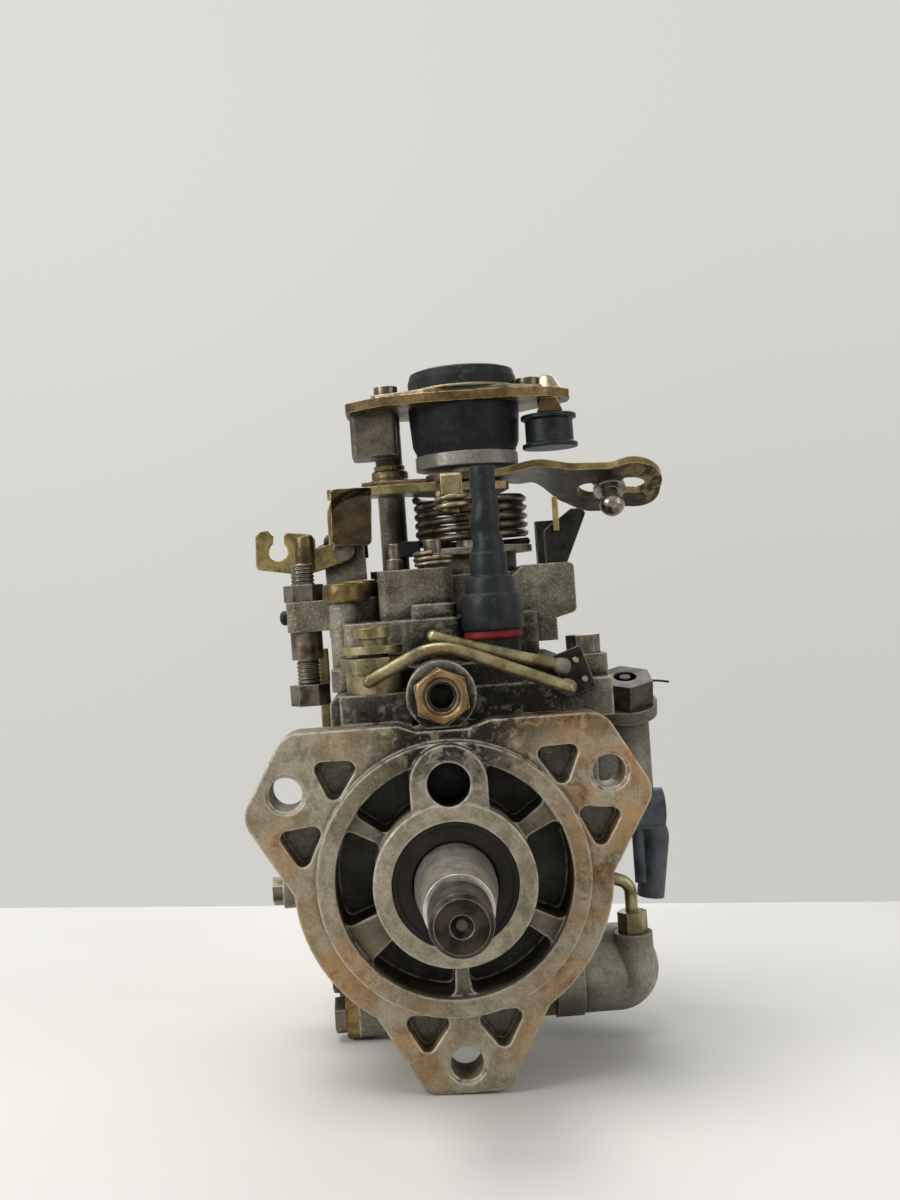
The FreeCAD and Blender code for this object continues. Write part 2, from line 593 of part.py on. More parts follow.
def roller_ring():
    tools = [rod("ring_bore", "roller_ring_bore", 20, (0, "roller_ring_front - 1", 0), "Y")]
    rollers = []
    for number in range(4):
        tools.append(rod(f"roller_slot_{number}", "roller_radius + 0.2", "roller_length",
                         ("roller_inner", "roller_centre_y", 0), "X", orbit=f"45 + 90 * {number}"))
        rollers.append(rod(f"roller_{number}", "roller_radius", "roller_length",
                           ("roller_inner", "roller_centre_y", 0), "X", orbit=f"45 + 90 * {number}"))
    blank = rod("ring_blank", "roller_ring_radius", "roller_ring_back - roller_ring_front",
                (0, "roller_ring_front", 0), "Y")
    pin = rod("ring_pin_stem", 2.5, "-20 - timer_z", (0, "timer_y", "timer_z"), "Z")
    tip = ball("ring_pin_ball", "timer_ball_radius", (0, "timer_y", "timer_z"))
    node("roller_ring", joined("roller_ring", [cut("roller_ring_body", blank, tools), pin, tip]))
    node("cam_rollers", grouped("cam_rollers", rollers))


def cam_plate():
    disc = rod("cam_disc", "cam_radius", "cam_back - cam_front", (0, "cam_front", 0), "Y")
    foot = rod("cam_foot", 8.5, "plunger_front - cam_back + 1", (0, "cam_back - 1", 0), "Y")
    spigot = rod("cam_spigot", 10, 4.7, (0, "cam_front - 4.5", 0), "Y")
    parts = [disc, foot, spigot]
    ramp = [(-9, 0), (-3, "cam_lift"), (3, "cam_lift"), (9, 0), (9, -1), (-9, -1)]
    for number in range(4):
        parts.append(plate(f"cam_lobe_{number}", ramp, 9, (16.5, "cam_front", 0),
                           "vector(1;0;1); 180", orbit=f"90 * {number} + 0.001"))
    for side in (-1, 1):
        parts.append(block(f"cam_jaw_{side + 1}", (-3, "shaft_back + 5", f"{side} * 6.5 - 3"),
                           (3, "cam_front - 4", f"{side} * 6.5 + 3")))
    node("cam_plate", joined("cam_plate", parts))
    node("plunger", rod("plunger", "plunger_radius", "plunger_back - plunger_front",
                        (0, "plunger_front", 0), "Y"))


def plunger_return():
    bridge = block("bridge_blank", (-23, "cam_back + 0.3", -6), (23, "cam_back + 2.3", 6))
    hole = rod("bridge_hole", 8.8, 8, (0, "cam_back - 2", 0), "Y")
    node("spring_bridge", cut("spring_bridge", bridge, [hole]))
    springs = []
    for side in (-1, 1):
        springs.append(coil(f"plunger_coil_{side + 1}", 4, 0.8, "housing_end - cam_back - 2.3", 5,
                            (f"{side} * 17", "cam_back + 2.3", 0), "Y", sides=5))
    node("plunger_springs", grouped("plunger_springs", springs))


def control_spool():
    profile = [
        ("plunger_radius + running_gap", 0), ("spool_radius", 0), ("spool_radius", 1.8), (6.2, 1.8),
        (6.2, 7.2),
        ("spool_radius", 7.2), ("spool_radius", "spool_length"),
        ("plunger_radius + running_gap", "spool_length"),
    ]
    node("control_spool", turned("control_spool", profile, (0, "spool_front", 0), "Y"))


# Governor

def governor():
    node("governor_shaft", rod("governor_shaft", "governor_shaft_radius", "governor_shaft_back - 16",
                               (0, 16, "governor_height"), "Y"))
    back = "gear_front + gear_width"
    disc = rod("cage_disc", "cage_radius", "cage_disc_thickness", (0, back, "governor_height"), "Y")
    bore = rod("cage_bore", "governor_shaft_radius + running_gap", 12,
               (0, f"{back} - 1", "governor_height"), "Y")
    parts = []
    for number in range(4):
        for side in (-1, 1):
            ear = block(f"ear_{number}_{side + 1}", (8, f"{back} + 1", f"{side} * 4.8 - 1"),
                        (13, "weight_pivot_y + 2.5", f"{side} * 4.8 + 1"))
            parts.append(swung_round_governor(ear, number))
        pin = rod(f"weight_pin_{number}", "weight_pin_radius", 10,
                  ("weight_pivot_radius", "weight_pivot_y", -5), "Z")
        parts.append(swung_round_governor(pin, number))
    wheel = gear("governor_gear", "governor_teeth", "governor_shaft_radius + running_gap",
                 (0, back, "governor_height"), "180 + 180 / governor_teeth")
    cage = cut("cage_body", joined("cage_blank", [disc] + parts), [bore])
    node("governor_cage", joined("governor_cage", [cage, wheel]))
    weight = [
        (6, 37.3), (12.5, 37.3), (14.5, 40), (14.5, 49), (9.8, 49), (9.8, 39.7), (6, 39.7),
    ]
    for number in range(4):
        piece = plate(f"weight_blank_{number}", weight, "weight_width", (0, 0, "-weight_width / 2"))
        eye = rod(f"weight_eye_{number}", "weight_pin_radius + running_gap", 12,
                  ("weight_pivot_radius", "weight_pivot_y", -6), "Z")
        made = cut(f"flyweight_{number + 1}", piece, [eye])
        node(f"flyweight_{number + 1}", swung_round_governor(made, number))
    sleeve = [
        ("governor_shaft_radius + running_gap", 0), (8.5, 0), (8.5, 1.5), ("sleeve_radius", 1.5),
        ("sleeve_radius", "sleeve_back - sleeve_front"), (0, "sleeve_back - sleeve_front"),
        (0, "sleeve_back - sleeve_front - 2.2"),
        ("governor_shaft_radius + running_gap", "sleeve_back - sleeve_front - 2.2"),
    ]
    node("governor_sleeve", turned("governor_sleeve", sleeve, (0, "sleeve_front", "governor_height"), "Y"))


def swung_round_governor(thing, number):
    """Turn a piece drawn beside the governor's axis round that axis, in quarters."""
    already = [text for prop, text in thing.ExpressionEngine if prop == "Placement"]
    swing = f"placement(vector(0;0;governor_height); rotation(vector(0;1;0); 90 * {number} + 0.001))"
    text = linked(swing) + (f" * {already[0]}" if already else "")
    thing.setExpression("Placement", text)
    return thing


def governor_lever():
    """The rocking lever from the sleeve to the spool, seen from the side as (Y, Z)."""
    side = [
        ("sleeve_back + 1.6", 31.5), ("lever_pivot_y - 7", 30), ("lever_pivot_y - 4", "lever_pivot_z + 5"),
        ("lever_pivot_y - 4", "lever_pivot_z - 4"), ("lever_pivot_y + 0.6", 10.5),
        ("lever_pivot_y + 3.4", 10.5), ("lever_pivot_y + 3.4", "lever_pivot_z + 4"),
        ("lever_pivot_y + 0.4", 33), ("lever_pivot_y - 2", 37),
        ("sleeve_back + 1.6", 37),
    ]
    web = plate("governor_web", side, "lever_thickness", ("-lever_thickness / 2", 0, 0), "X")
    tip = ball("governor_tip", 2.5, (0, "lever_pivot_y + 2.5", 9.4))
    pad = rod("governor_pad", 2.2, 1.5, (0, "sleeve_back + 0.3", "governor_height"), "Y")
    pin = rod("governor_pivot", "lever_pin_radius", "cavity_right - cavity_left + 6",
              ("cavity_left - 3", "lever_pivot_y", "lever_pivot_z"), "X")
    node("governor_lever", joined("governor_lever", [web, tip, pad, pin]))


# Timer

def timer():
    piston = rod("piston_blank", "timer_piston_radius", 36, (-24, "timer_y", "timer_z"), "X")
    seat = block("piston_slot", ("-timer_ball_radius - 0.05", "timer_y - 4", "timer_z - 5"),
                 ("timer_ball_radius + 0.05", "timer_y + 4", "timer_z + 5"))
    mouth = block("piston_mouth", (-5.5, "timer_y - 4", "timer_z + 3.5"),
                  (5.5, "timer_y + 4", "timer_z + 12"))
    recess = rod("piston_recess", 6, 8, (4.5, "timer_y", "timer_z"), "X")
    node("timer_piston", cut("timer_piston", piston, [seat, mouth, recess]))
    node("timer_spring", coil("timer_spring", 4.6, 0.9, "timer_right - 4.5 - 8", 6,
                              ("4.5 + 8", "timer_y", "timer_z"), "X", sides=5))
    plate_left = [(-15, -11), (15, -11), (15, 11), (-15, 11)]
    raw = plate("timer_plate_raw", plate_left, "timer_plate_thickness",
                ("timer_left - timer_plate_thickness", "timer_y", "timer_z"), "X")
    holes = []
    screws = []
    for number, (across, up) in enumerate(TIMER_SCREW_SPOTS):
        spot = ("timer_left - 5", f"timer_y + {across}", f"timer_z + {up}")
        holes.append(rod(f"timer_plate_hole_{number}", "screw_radius + screw_gap", 6, spot, "X"))
        face = ("timer_left - timer_plate_thickness", f"timer_y + {across}", f"timer_z + {up}")
        screws.append(screw(f"timer_screw_{number}", face, "-X", 9, 3.2, "screw_radius", 8))
    node("timer_cover_left", cut("timer_cover_left", rounded("timer_plate", raw, 3, upright), holes))
    node("timer_screws", grouped("timer_screws", screws))
    collar = rod("timer_collar", 15, 8, ("timer_right", "timer_y", "timer_z + 2"), "X")
    drum = rod("timer_drum", "timer_boss_radius", 20, ("timer_right", "timer_y", "timer_z"), "X")
    dome = ball("timer_dome", "timer_boss_radius", ("timer_right + 19", "timer_y", "timer_z"))
    boss = rod("timer_union_boss", 5.5, 15, ("timer_pipe_x", 50, "timer_z - 3"), "Z")
    node("timer_cover_right", joined("timer_cover_right", [drum, dome, boss, collar]))


# Distributor head

def delivery_valve(number, swing):
    """A delivery valve holder with its coned mouth, one of the four round the head's rear."""
    nut = hexagon(f"valve_nut_{number}", 14, 9, ("valve_circle_radius", "head_end", 0), "Y", orbit=swing)
    stem = rod(f"valve_stem_{number}", 5, 10, ("valve_circle_radius", "head_end - 10", 0), "Y", orbit=swing)
    thread = rod(f"valve_thread_{number}", "valve_thread_radius", "valve_length",
                 ("valve_circle_radius", "head_end", 0), "Y", orbit=swing)
    seat = cone(f"valve_cone_{number}", 0.8, 3, 5, ("valve_circle_radius", "head_end + valve_length - 5", 0),
                "Y", orbit=swing)
    return cut(f"delivery_valve_{number}", joined(f"valve_blank_{number}", [nut, stem, thread]), [seat])


def distributor_head():
    flange = rod("head_flange", "head_radius + 2", 10, (0, "housing_end", 0), "Y")
    core = rod("head_core", "head_radius - 7", "head_end - housing_end", (0, "housing_end", 0), "Y")
    tower = block("head_tower", (-13, "housing_end + 8", 10), (13, "head_end", 33))
    tools = [rod("barrel_bore", "plunger_radius + running_gap", "head_end - housing_end + 2",
                 (0, "housing_end - 1", 0), "Y")]
    valves = []
    screws = []
    for number in range(4):
        swing = f"45 + 90 * {number}"
        tools.append(rod(f"head_screw_hole_{number}", "screw_radius + screw_gap", 20,
                         ("head_screw_circle", "housing_end - 1", 0), "Y", orbit=swing))
        tools.append(rod(f"valve_seat_{number}", 5, 12, ("valve_circle_radius", "head_end - 10", 0), "Y",
                         orbit=swing))
        head = hexagon(f"head_screw_{number}_head", 8, 5, ("head_screw_circle", "housing_end + 10", 0),
                       "Y", orbit=swing)
        shank = rod(f"head_screw_{number}_shank", "screw_radius", 17,
                    ("head_screw_circle", "housing_end - 7", 0),
                    "Y", orbit=swing)
        screws.append(joined(f"head_screw_{number}", [head, shank]))
        valves.append(delivery_valve(number, swing))
    tools.append(rod("solenoid_seat", 5, 12, (0, "solenoid_y", 24), "Z"))
    node("distributor_head", cut("distributor_head", joined("head_blank", [flange, core, tower]), tools))
    node("delivery_valves", grouped("delivery_valves", valves))
    return screws


def shutoff_solenoid():
    shell = rod("solenoid_shell", 10.5, 26, (0, "solenoid_y", 41), "Z")
    base = hexagon("solenoid_hex", 20, 8, (0, "solenoid_y", 33), "Z")
    stem = rod("solenoid_stem", 5, 8, (0, "solenoid_y", 26), "Z")
    stud = rod("solenoid_stud", 2, 9, (0, "solenoid_y", 66), "Z")
    bore = rod("solenoid_bore", 3.5, 26, (0, "solenoid_y", 25), "Z")
    node("shutoff_solenoid", cut("shutoff_solenoid", joined("solenoid_blank", [shell, base, stem, stud]),
                                 [bore]))
    node("shutoff_armature", rod("shutoff_armature", "3.5 - running_gap", 16, (0, "solenoid_y", 29), "Z"))


# Governor cover

def cover_shell():
    """The outside of the governor cover: skirt, body, tower and bosses."""
    skirt_outline = [
        ("deck_left", "cover_notch_y"), ("cover_notch_x", "cover_notch_y"), ("cover_notch_x", "deck_front"),
        ("deck_right", "deck_front"), ("deck_right", "housing_end"), ("deck_left", "housing_end"),
    ]
    skirt = plate("cover_skirt_raw", skirt_outline, "cover_flange_top - deck_height", (0, 0, "deck_height"))
    body_outline = [
        (-25, "cover_notch_y + 5"), ("cover_notch_x", "cover_notch_y + 5"),
        ("cover_notch_x", "cover_front + 4"),
        (7, "cover_front + 4"), (7, 36.5), (29, 36.5), (29, "cover_back - 7"), (-25, "cover_back - 7"),
    ]
    body = plate("cover_body_raw", body_outline, "cover_shoulder - deck_height - 2",
                 (0, 0, "deck_height + 2"))
    tower = block("cover_tower_raw", (-15, 34, "cover_shoulder - 8"), (6, 60, "cover_block_top"))
    boss_column = block("screw_column_raw", (-6, 27, "cover_shoulder - 8"), (6.2, 38, "cover_shoulder + 4"))
    ear = block("cover_ear_raw", (-42, 46, "ear_bottom"), (-14, 58, "ear_top"))
    saddle = block("cover_saddle_raw", (-24, 56, "cover_shoulder - 8"), (29, 85, "cover_shoulder + 12"))
    lug = block("cold_lug_raw", (-31, "cold_plate_y + 0.3", "cover_shoulder - 4"),
                (-19, 72, "cold_pivot_z + 5.5"))
    right_outline = [
        (24, "cover_shoulder - 9"), (36, "cover_shoulder - 9"), (36, "cover_shoulder - 2.5"),
        (42, "cover_shoulder - 1"), (42, "right_boss_top"), (27, "right_boss_top"),
        (24, "right_boss_top - 3"),
    ]
    right = plate("right_boss_raw", right_outline, 16, (0, 68, 0), "-Y")
    return [
        rounded("cover_skirt", skirt, 3.5, upright),
        rounded("cover_body", body, 2.5, upright),
        rounded("cover_tower", tower, 3, upright),
        rounded("screw_column", boss_column, 2, upright),
        rounded("cover_ear", ear, 3, upright),
        rounded("cover_saddle", saddle, 4, upright),
        rounded("cold_lug", lug, 2.5, along_y),
        rounded("right_boss", right, 1.8, lambda edge: upright(edge) and edge.Vertexes[0].X > 38),
        rod("left_column", 3.8, "left_column_top - deck_height - 1",
            ("left_column_x", 37, "deck_height + 1"), "Z"),
        rod("throttle_boss", 13, "throttle_boss_top - cover_shoulder + 6",
            ("throttle_x", "throttle_y", "cover_shoulder - 6"), "Z"),
        rod("spring_seat", 18, 2, ("throttle_x", "throttle_y", "throttle_boss_top - 2"), "Z"),
        block("cover_pipe_pad", (28, 20, "deck_height"), ("pipe_pad_side", "pipe_pad_back",
                                                          "cover_flange_top")),
    ]


def governor_cover():
    whole = joined("cover_whole", cover_shell())
    tools = [
        block("cover_hollow", ("cover_notch_x - 3", "cavity_front", "deck_height - 1"),
              ("cavity_right - 1", 37, "cover_flange_top - 1.7")),
        block("cover_hollow_back", ("cavity_left + 1", 36.8, "deck_height - 1"),
              ("cavity_right - 1", 82, "cover_shoulder - 4")),
        rod("cold_pin_hole", "3 + running_gap", 14, ("cold_pivot_x", "cold_plate_y - 1", "cold_pivot_z"),
            "Y"),
        rod("throttle_bore", "throttle_shaft_radius + running_gap", "throttle_boss_top - deck_height + 2",
            ("throttle_x", "throttle_y", "deck_height"), "Z"),
        rod("adjuster_hole", "3 + running_gap", 12, ("adjuster_x", 52, "ear_bottom - 1")),
        rod("tower_screw_hole", "screw_radius + screw_gap", 9, (1, 42, "cover_block_top - 8")),
        rod("tower_post_hole", "post_radius + screw_gap", 9, ("post_x", 42, "cover_block_top - 8")),
        rod("tie_bolt_hole", "screw_radius + screw_gap", 9, (-21, 50, "ear_top - 8")),
    ]
    for number, (x, y, seat) in enumerate(COVER_SCREW_SPOTS):
        tools.append(rod(f"cover_screw_hole_{number}", "screw_radius + screw_gap",
                         f"{seat} - deck_height + 2",
                         (x, y, "deck_height - 1")))
    node("governor_cover", cut("governor_cover", whole, tools))
    screws = []
    for number, (x, y, seat) in enumerate(COVER_SCREW_SPOTS):
        screws.append(screw(f"cover_screw_{number}", (x, y, seat), "Z", 8, 5, "screw_radius",
                            f"{seat} - deck_height + 11"))
    return screws


# Throttle and its sensor

def throttle():
    centre = ("throttle_x", "throttle_y")
    shaft = rod("throttle_spindle", "throttle_shaft_radius", "sensor_z - cover_shoulder + 11.5",
                (*centre, "cover_shoulder - 6"), "Z")
    crank = rod("throttle_crank", 2, 6, ("throttle_x - 2.5", "throttle_y", "cover_shoulder - 11"), "Z")
    collar = rod("throttle_collar", 8, 0.5, (*centre, "stop_plate_z + stop_plate_thickness"), "Z")
    node("throttle_shaft", joined("throttle_shaft", [shaft, crank, collar]))
    bore = rod("stop_plate_bore", "throttle_shaft_radius", 12, (*centre, "stop_plate_z - 3"), "Z")
    outline_stop = [(26, 64), (24, 82), (6, 84), (-6, 70), (-26, 68), (-29, 64), (-28.5, 55.5),
                    (-16, 55.5), (4, 57)]
    flat = plate("stop_flat_raw", outline_stop, "stop_plate_thickness", (0, 0, "stop_plate_z"))
    tab_outline = [
        (-28, "stop_plate_z - 14"), (-16.5, "stop_plate_z - 14.5"), (-15.5, "stop_plate_z + 2"),
        (-27.5, "stop_plate_z + 2"),
    ]
    low = SIZES["deck_height"] + 44
    tab = rounded("stop_tab", plate("stop_tab_raw", tab_outline, 2.5, (0, 58, 0), "-Y"), 1.5,
                  lambda edge: upright(edge) and edge.Vertexes[0].Y < low)
    blank = joined("stop_blank", [rounded("stop_flat", flat, 2.5, upright), tab])
    node("throttle_stop_plate", cut("throttle_stop_plate", blank, [bore]))
    throttle_lever()
    node("throttle_spring", coil("throttle_spring", "return_coil_radius", "return_wire_radius",
                                 "stop_plate_z - throttle_boss_top", 5.5,
                                 ("throttle_x", "throttle_y", "throttle_boss_top"), "Z", sides=8))


def throttle_lever():
    """The lever: a flat hub, a twisted neck, and an end tilted towards the front with the ball stud in its slot."""
    hub_outline = [(2, 63), (10, 60), ("neck_start_x", 60), ("neck_start_x", 84), (8, 84), (0, 76)]
    hub = rounded("lever_hub", plate("lever_hub_raw", hub_outline, "lever_plate_thickness",
                                     (0, 0, "lever_z")), 3,
                  lambda edge: upright(edge) and edge.Vertexes[0].X < 15)
    half = "lever_plate_thickness / 2"
    near = outline("neck_near", [(-12, f"-{half}"), (12, f"-{half}"), (12, half), (-12, half)])
    place(near, ("neck_start_x", "throttle_y", f"lever_z + {half}"), "X")
    far = outline("neck_far", [(-12, f"-{half}"), (12, f"-{half}"), (12, half), (-12, half)])
    place(far, ("neck_end_x", "lever_end_y", "lever_end_z"), "X", spin="-lever_tilt")
    neck = doc.addObject("Part::Loft", "lever_neck")
    neck.Sections = [near, far]
    neck.Solid = True
    neck.Ruled = True
    tilted = "vector(1;0;0); -lever_tilt"
    end_outline = [
        ("neck_end_x", -12), (70, -12), (72.5, -9), (72.5, 3), (70.5, 9), (66.5, 12), ("neck_end_x", 12),
    ]
    drop = f"lever_end_z - {half} * cos(lever_tilt)"
    end = plate("lever_end_raw", end_outline, "lever_plate_thickness",
                (0, f"lever_end_y - {half} * sin(lever_tilt)", drop), tilted)
    end = rounded("lever_end", end, 1.5, lambda edge: upright(edge) and edge.Vertexes[0].X > 60)
    through = ("lever_end_y - 5 * sin(lever_tilt)", "lever_end_z - 5 * cos(lever_tilt)")
    slot = [
        rod("lever_slot_near", "slot_half", 10, ("slot_left + slot_half", *through), tilted),
        rod("lever_slot_far", "slot_half", 10, ("slot_right - slot_half", *through), tilted),
        plate("lever_slot_middle", [("slot_left + slot_half", "-slot_half"),
                                    ("slot_right - slot_half", "-slot_half"),
                                    ("slot_right - slot_half", "slot_half"),
                                    ("slot_left + slot_half", "slot_half")],
              10, (0, *through), tilted),
        rod("lever_bore", "throttle_shaft_radius", 12, ("throttle_x", "throttle_y", "lever_z - 6"), "Z"),
    ]
    node("throttle_lever", cut("throttle_lever", joined("lever_blank", [hub, neck, end]), slot))
    top = ("ball_x", f"lever_end_y + ({half} + 1.3) * sin(lever_tilt)",
           f"lever_end_z + ({half} + 1.3) * cos(lever_tilt)")
    down = "vector(1;0;0); 180 - lever_tilt"
    under = ("ball_x", f"lever_end_y - {half} * sin(lever_tilt)", drop)
    knob = ball("ball_knob", "ball_radius", ("ball_x", "lever_end_y - ball_drop * sin(lever_tilt)",
                                             "lever_end_z - ball_drop * cos(lever_tilt)"))
    parts = [
        rod("ball_stem", 2.4, "ball_drop + 2", top, down), rod("ball_rivet", 5, 1.3, top, down),
        rod("ball_collar", 5, 1.3, under, down), knob,
    ]
    node("ball_stud", joined("ball_stud", parts))


def throttle_sensor():
    centre = ("throttle_x", "throttle_y")
    ring = rod("sensor_ring_blank", 15.7, "sensor_z - sensor_ring_z", (*centre, "sensor_ring_z"), "Z")
    hole = rod("sensor_ring_bore", "throttle_shaft_radius + 0.4", 8, (*centre, "sensor_ring_z - 1"), "Z")
    node("sensor_ring", cut("sensor_ring", ring, [hole]))
    drum = rod("sensor_drum", "sensor_radius", "bracket_z - sensor_z", (*centre, "sensor_z"), "Z")
    pit = rod("sensor_pit", "throttle_shaft_radius + 0.4", 7, (*centre, "sensor_z - 1"), "Z")
    node("sensor_body", cut("sensor_body", drum, [pit]))
    lower = [
        (-22, 66), (-12, 57), (2, 54), (26, 54), (38, 57), (46, 64), (46, 72), (30, 90), (-2, 92), (-16, 90),
        (-22, 82),
    ]
    under = rounded("bracket_lower", plate("bracket_lower_raw", lower, "bracket_thickness",
                                           (0, 0, "bracket_z")),
                    4, upright)
    gusset_outline = [
        (35.4, "bracket_z - 4"), (42.9, "bracket_z - 4"), (41, "bracket_z + 1"), (37, "bracket_z + 1"),
    ]
    gusset = plate("bracket_gusset", gusset_outline, 2, (0, 62, 0), "-Y")
    upper = [(-14, 63), (-4, 59), (2, 56.5), (26, 56.5), (38, 62), (38, 74), (28, 87), (0, 87), (-14, 74)]
    clamp = plate("bracket_upper_raw", upper, "bracket_upper_thickness",
                  (0, 0, "bracket_z + bracket_thickness"))
    sheets = [joined("bracket_lower_whole", [under, gusset]), rounded("bracket_upper", clamp, 3, upright)]
    node("sensor_bracket", grouped("sensor_bracket", sheets))
    cap_low = "bracket_z + bracket_thickness + bracket_upper_thickness"
    profile = [(0, 0), (16.6, 0), (16.6, 4), (15.8, 6.4), (14, 7), (0, 7)]
    node("sensor_cap", turned("sensor_cap", profile, (*centre, cap_low), "Z"))
    screws = []
    for number, (x, y) in enumerate(((-9.4, 66), (33.6, 66))):
        screws.append(rod(f"sensor_screw_{number}", 3.6, 2.6, (x, y, cap_low), "Z"))
    node("sensor_screws", grouped("sensor_screws", screws))


def sensor_supports():
    foot = block("stand_foot", ("stand_x - 8", "stand_y - 6", "cover_shoulder + 12"),
                 ("stand_x + 6", "stand_y + 7", "cover_shoulder + 15"))
    column = rod("stand_column", 4.2, "bracket_z - cover_shoulder - 14",
                 ("stand_x", "stand_y", "cover_shoulder + 14"), "Z")
    raw = block("stand_head_raw", ("stand_x - 11", "stand_y - 12", "bracket_z - 13"),
                ("stand_x + 3", "stand_y + 6", "bracket_z"))
    node("sensor_stand", joined("sensor_stand", [foot, column, rounded("stand_head", raw, 2, upright)]))
    profile = [
        (0, 0), (8.2, 0), (8.4, 0.3), (8.4, 1.2), (7.25, 1.8), (7.25, 8.2), (8.4, 8.8), (8.4, 9.7), (8.2, 10),
        (3, 10), (3, "bobbin_height"), (0, "bobbin_height"),
    ]
    node("vibration_bobbin", turned("vibration_bobbin", profile, (39.2, 66, "bracket_z - bobbin_height"),
                                    "Z"))


# Outside fittings

def front_fittings():
    nut = hexagon("inlet_nut", 13, 5, (0, 1, "inlet_height"), "Y", spin=25)
    stem = rod("inlet_stem", 4.45, 8, (0, 5, "inlet_height"), "Y")
    bore = rod("inlet_passage", 3.2, 14, (0, 0, "inlet_height"), "Y")
    mouth = rod("inlet_mouth", "inlet_mouth_radius", 4, (0, 0, "inlet_height"), "Y")
    node("inlet_union", cut("inlet_union", joined("inlet_blank", [nut, stem]), [bore, mouth]))
    port = rod("port_plug", "port_radius", 3, (0, 3, "port_height"), "Y")
    side = screw("left_lug_plug", (-48, 48, -11), "-X", 7, 3, 2.5, 6)
    rear = screw("head_plug", (0, "head_end", 0), "Y", 12, 6, "plunger_radius", 4)
    node("gallery_plugs", grouped("gallery_plugs", [port, side, rear]))


def fuel_pipes():
    lower = [
        bent_tube("lower_pipe", ("union_x - 1.2", "deck_height + 3.5"), (-0.4, "deck_height + 12.2"),
                  ("pipe_end_x", "deck_height - 1.6"), 16, "pipe_radius", "lower_pipe_y"),
        ball("lower_pipe_start", "pipe_radius", ("union_x - 1.2", "lower_pipe_y", "deck_height + 3.5")),
        rod("lower_pipe_entry", "pipe_radius", 6, ("union_x - 1.2", "lower_pipe_y", "deck_height + 3.5"),
            "Y"),
        ball("lower_pipe_end", "pipe_radius", ("pipe_end_x", "lower_pipe_y", "deck_height - 1.6")),
        rod("lower_pipe_tail", "pipe_radius", "clip_y - lower_pipe_y",
            ("pipe_end_x", "lower_pipe_y", "deck_height - 1.6"), "Y"),
    ]
    stack = [
        rod("union_eye", "union_eye_radius", 5.2, ("union_x", "union_y", "deck_height"), "Z"),
        hexagon("union_hex", 15, 4.1, ("union_x", "union_y", "deck_height + 5.2"), "Z"),
        rod("union_washer_low", 7.9, 2, ("union_x", "union_y", "deck_height + 10.3"), "Z"),
        rod("union_neck", 4, 13, ("union_x", "union_y", "deck_height + 2"), "Z"),
        rod("union_washer_high", 4.7, 2.7, ("union_x", "union_y", "deck_height + 14.3"), "Z"),
        rod("union_stem", "screw_radius", 12, ("union_x", "union_y", "deck_height - 10"), "Z"),
    ]
    upper = [
        bent_tube("upper_pipe", (-0.9, "deck_height + 13.6"), (8, "deck_height + 10.6"),
                  ("pipe_end_x - 0.9", "deck_height + 3.8"), 50, "pipe_radius", "upper_pipe_y"),
        ball("upper_pipe_start", "pipe_radius", (-0.9, "upper_pipe_y", "deck_height + 13.6")),
        rod("upper_pipe_entry", "pipe_radius", "cover_front + 4 - upper_pipe_y",
            (-0.9, "upper_pipe_y", "deck_height + 13.6"), "Y"),
        ball("upper_pipe_end", "pipe_radius", ("pipe_end_x - 0.9", "upper_pipe_y", "deck_height + 3.8")),
        rod("upper_pipe_tail", "pipe_radius", "clip_y - upper_pipe_y",
            ("pipe_end_x - 0.9", "upper_pipe_y", "deck_height + 3.8"), "Y"),
    ]
    timer_line = [
        bent_tube("timer_pipe", (44, "timer_pipe_z"), ("timer_pipe_x", "timer_pipe_z - 3"),
                  ("timer_pipe_x", "timer_z + 15"),
                  4, 1.8, 50),
        ball("timer_pipe_start", 1.8, (44, 50, "timer_pipe_z")),
        rod("timer_pipe_back", 1.8, 5, (44, 50, "timer_pipe_z"), "-X"),
        hexagon("timer_pipe_root", 8, 3.5, (39, 50, "timer_pipe_z"), "X"),
        hexagon("timer_pipe_nut", 7.5, 6, ("timer_pipe_x", 50, "timer_z + 12"), "Z"),
    ]
    lines = [joined("lower_line", lower + stack), joined("upper_line", upper),
             joined("timer_line", timer_line)]
    node("fuel_pipes", grouped("fuel_pipes", lines))
    square = plate("clip_square_raw", [(-4.1, -5.8), (4.1, -5.8), (4.1, 5.8), (-4.1, 5.8)],
                   "deck_front - clip_y",
                   ("pipe_end_x + 2.2", "deck_front", "deck_height + 2"), "-Y", spin=18)
    node("pipe_clip", rounded("clip_square", square, 0.8, upright))


def sensor_connector():
    """The plug that stands on the cover, with its stepped rubber boot and sealing ring."""
    node("connector_body", rod("connector_body", 7.3, 5.5, ("boot_x", "boot_y", "cover_flange_top"), "Z"))
    ring = rod("connector_seal", 8.1, 2.5, ("boot_x", "boot_y", "cover_flange_top + 5.5"), "Z")
    steps = [
        (0, 0), (8.5, 0), (8.5, 5.8), (7.8, 8.6), (6.7, 9.4), (6.5, 13.8), (4.9, 14.2), (4.9, 20.5),
        (4.4, 24.9),
        (3.8, 31.3), (3.6, 43.5), (3.2, 44.3), (0, 44.3),
    ]
    boot = turned("connector_sleeve", steps, ("boot_x", "boot_y", "cover_flange_top + 8"), "Z")
    node("connector_boot", grouped("connector_boot", [ring, boot]))


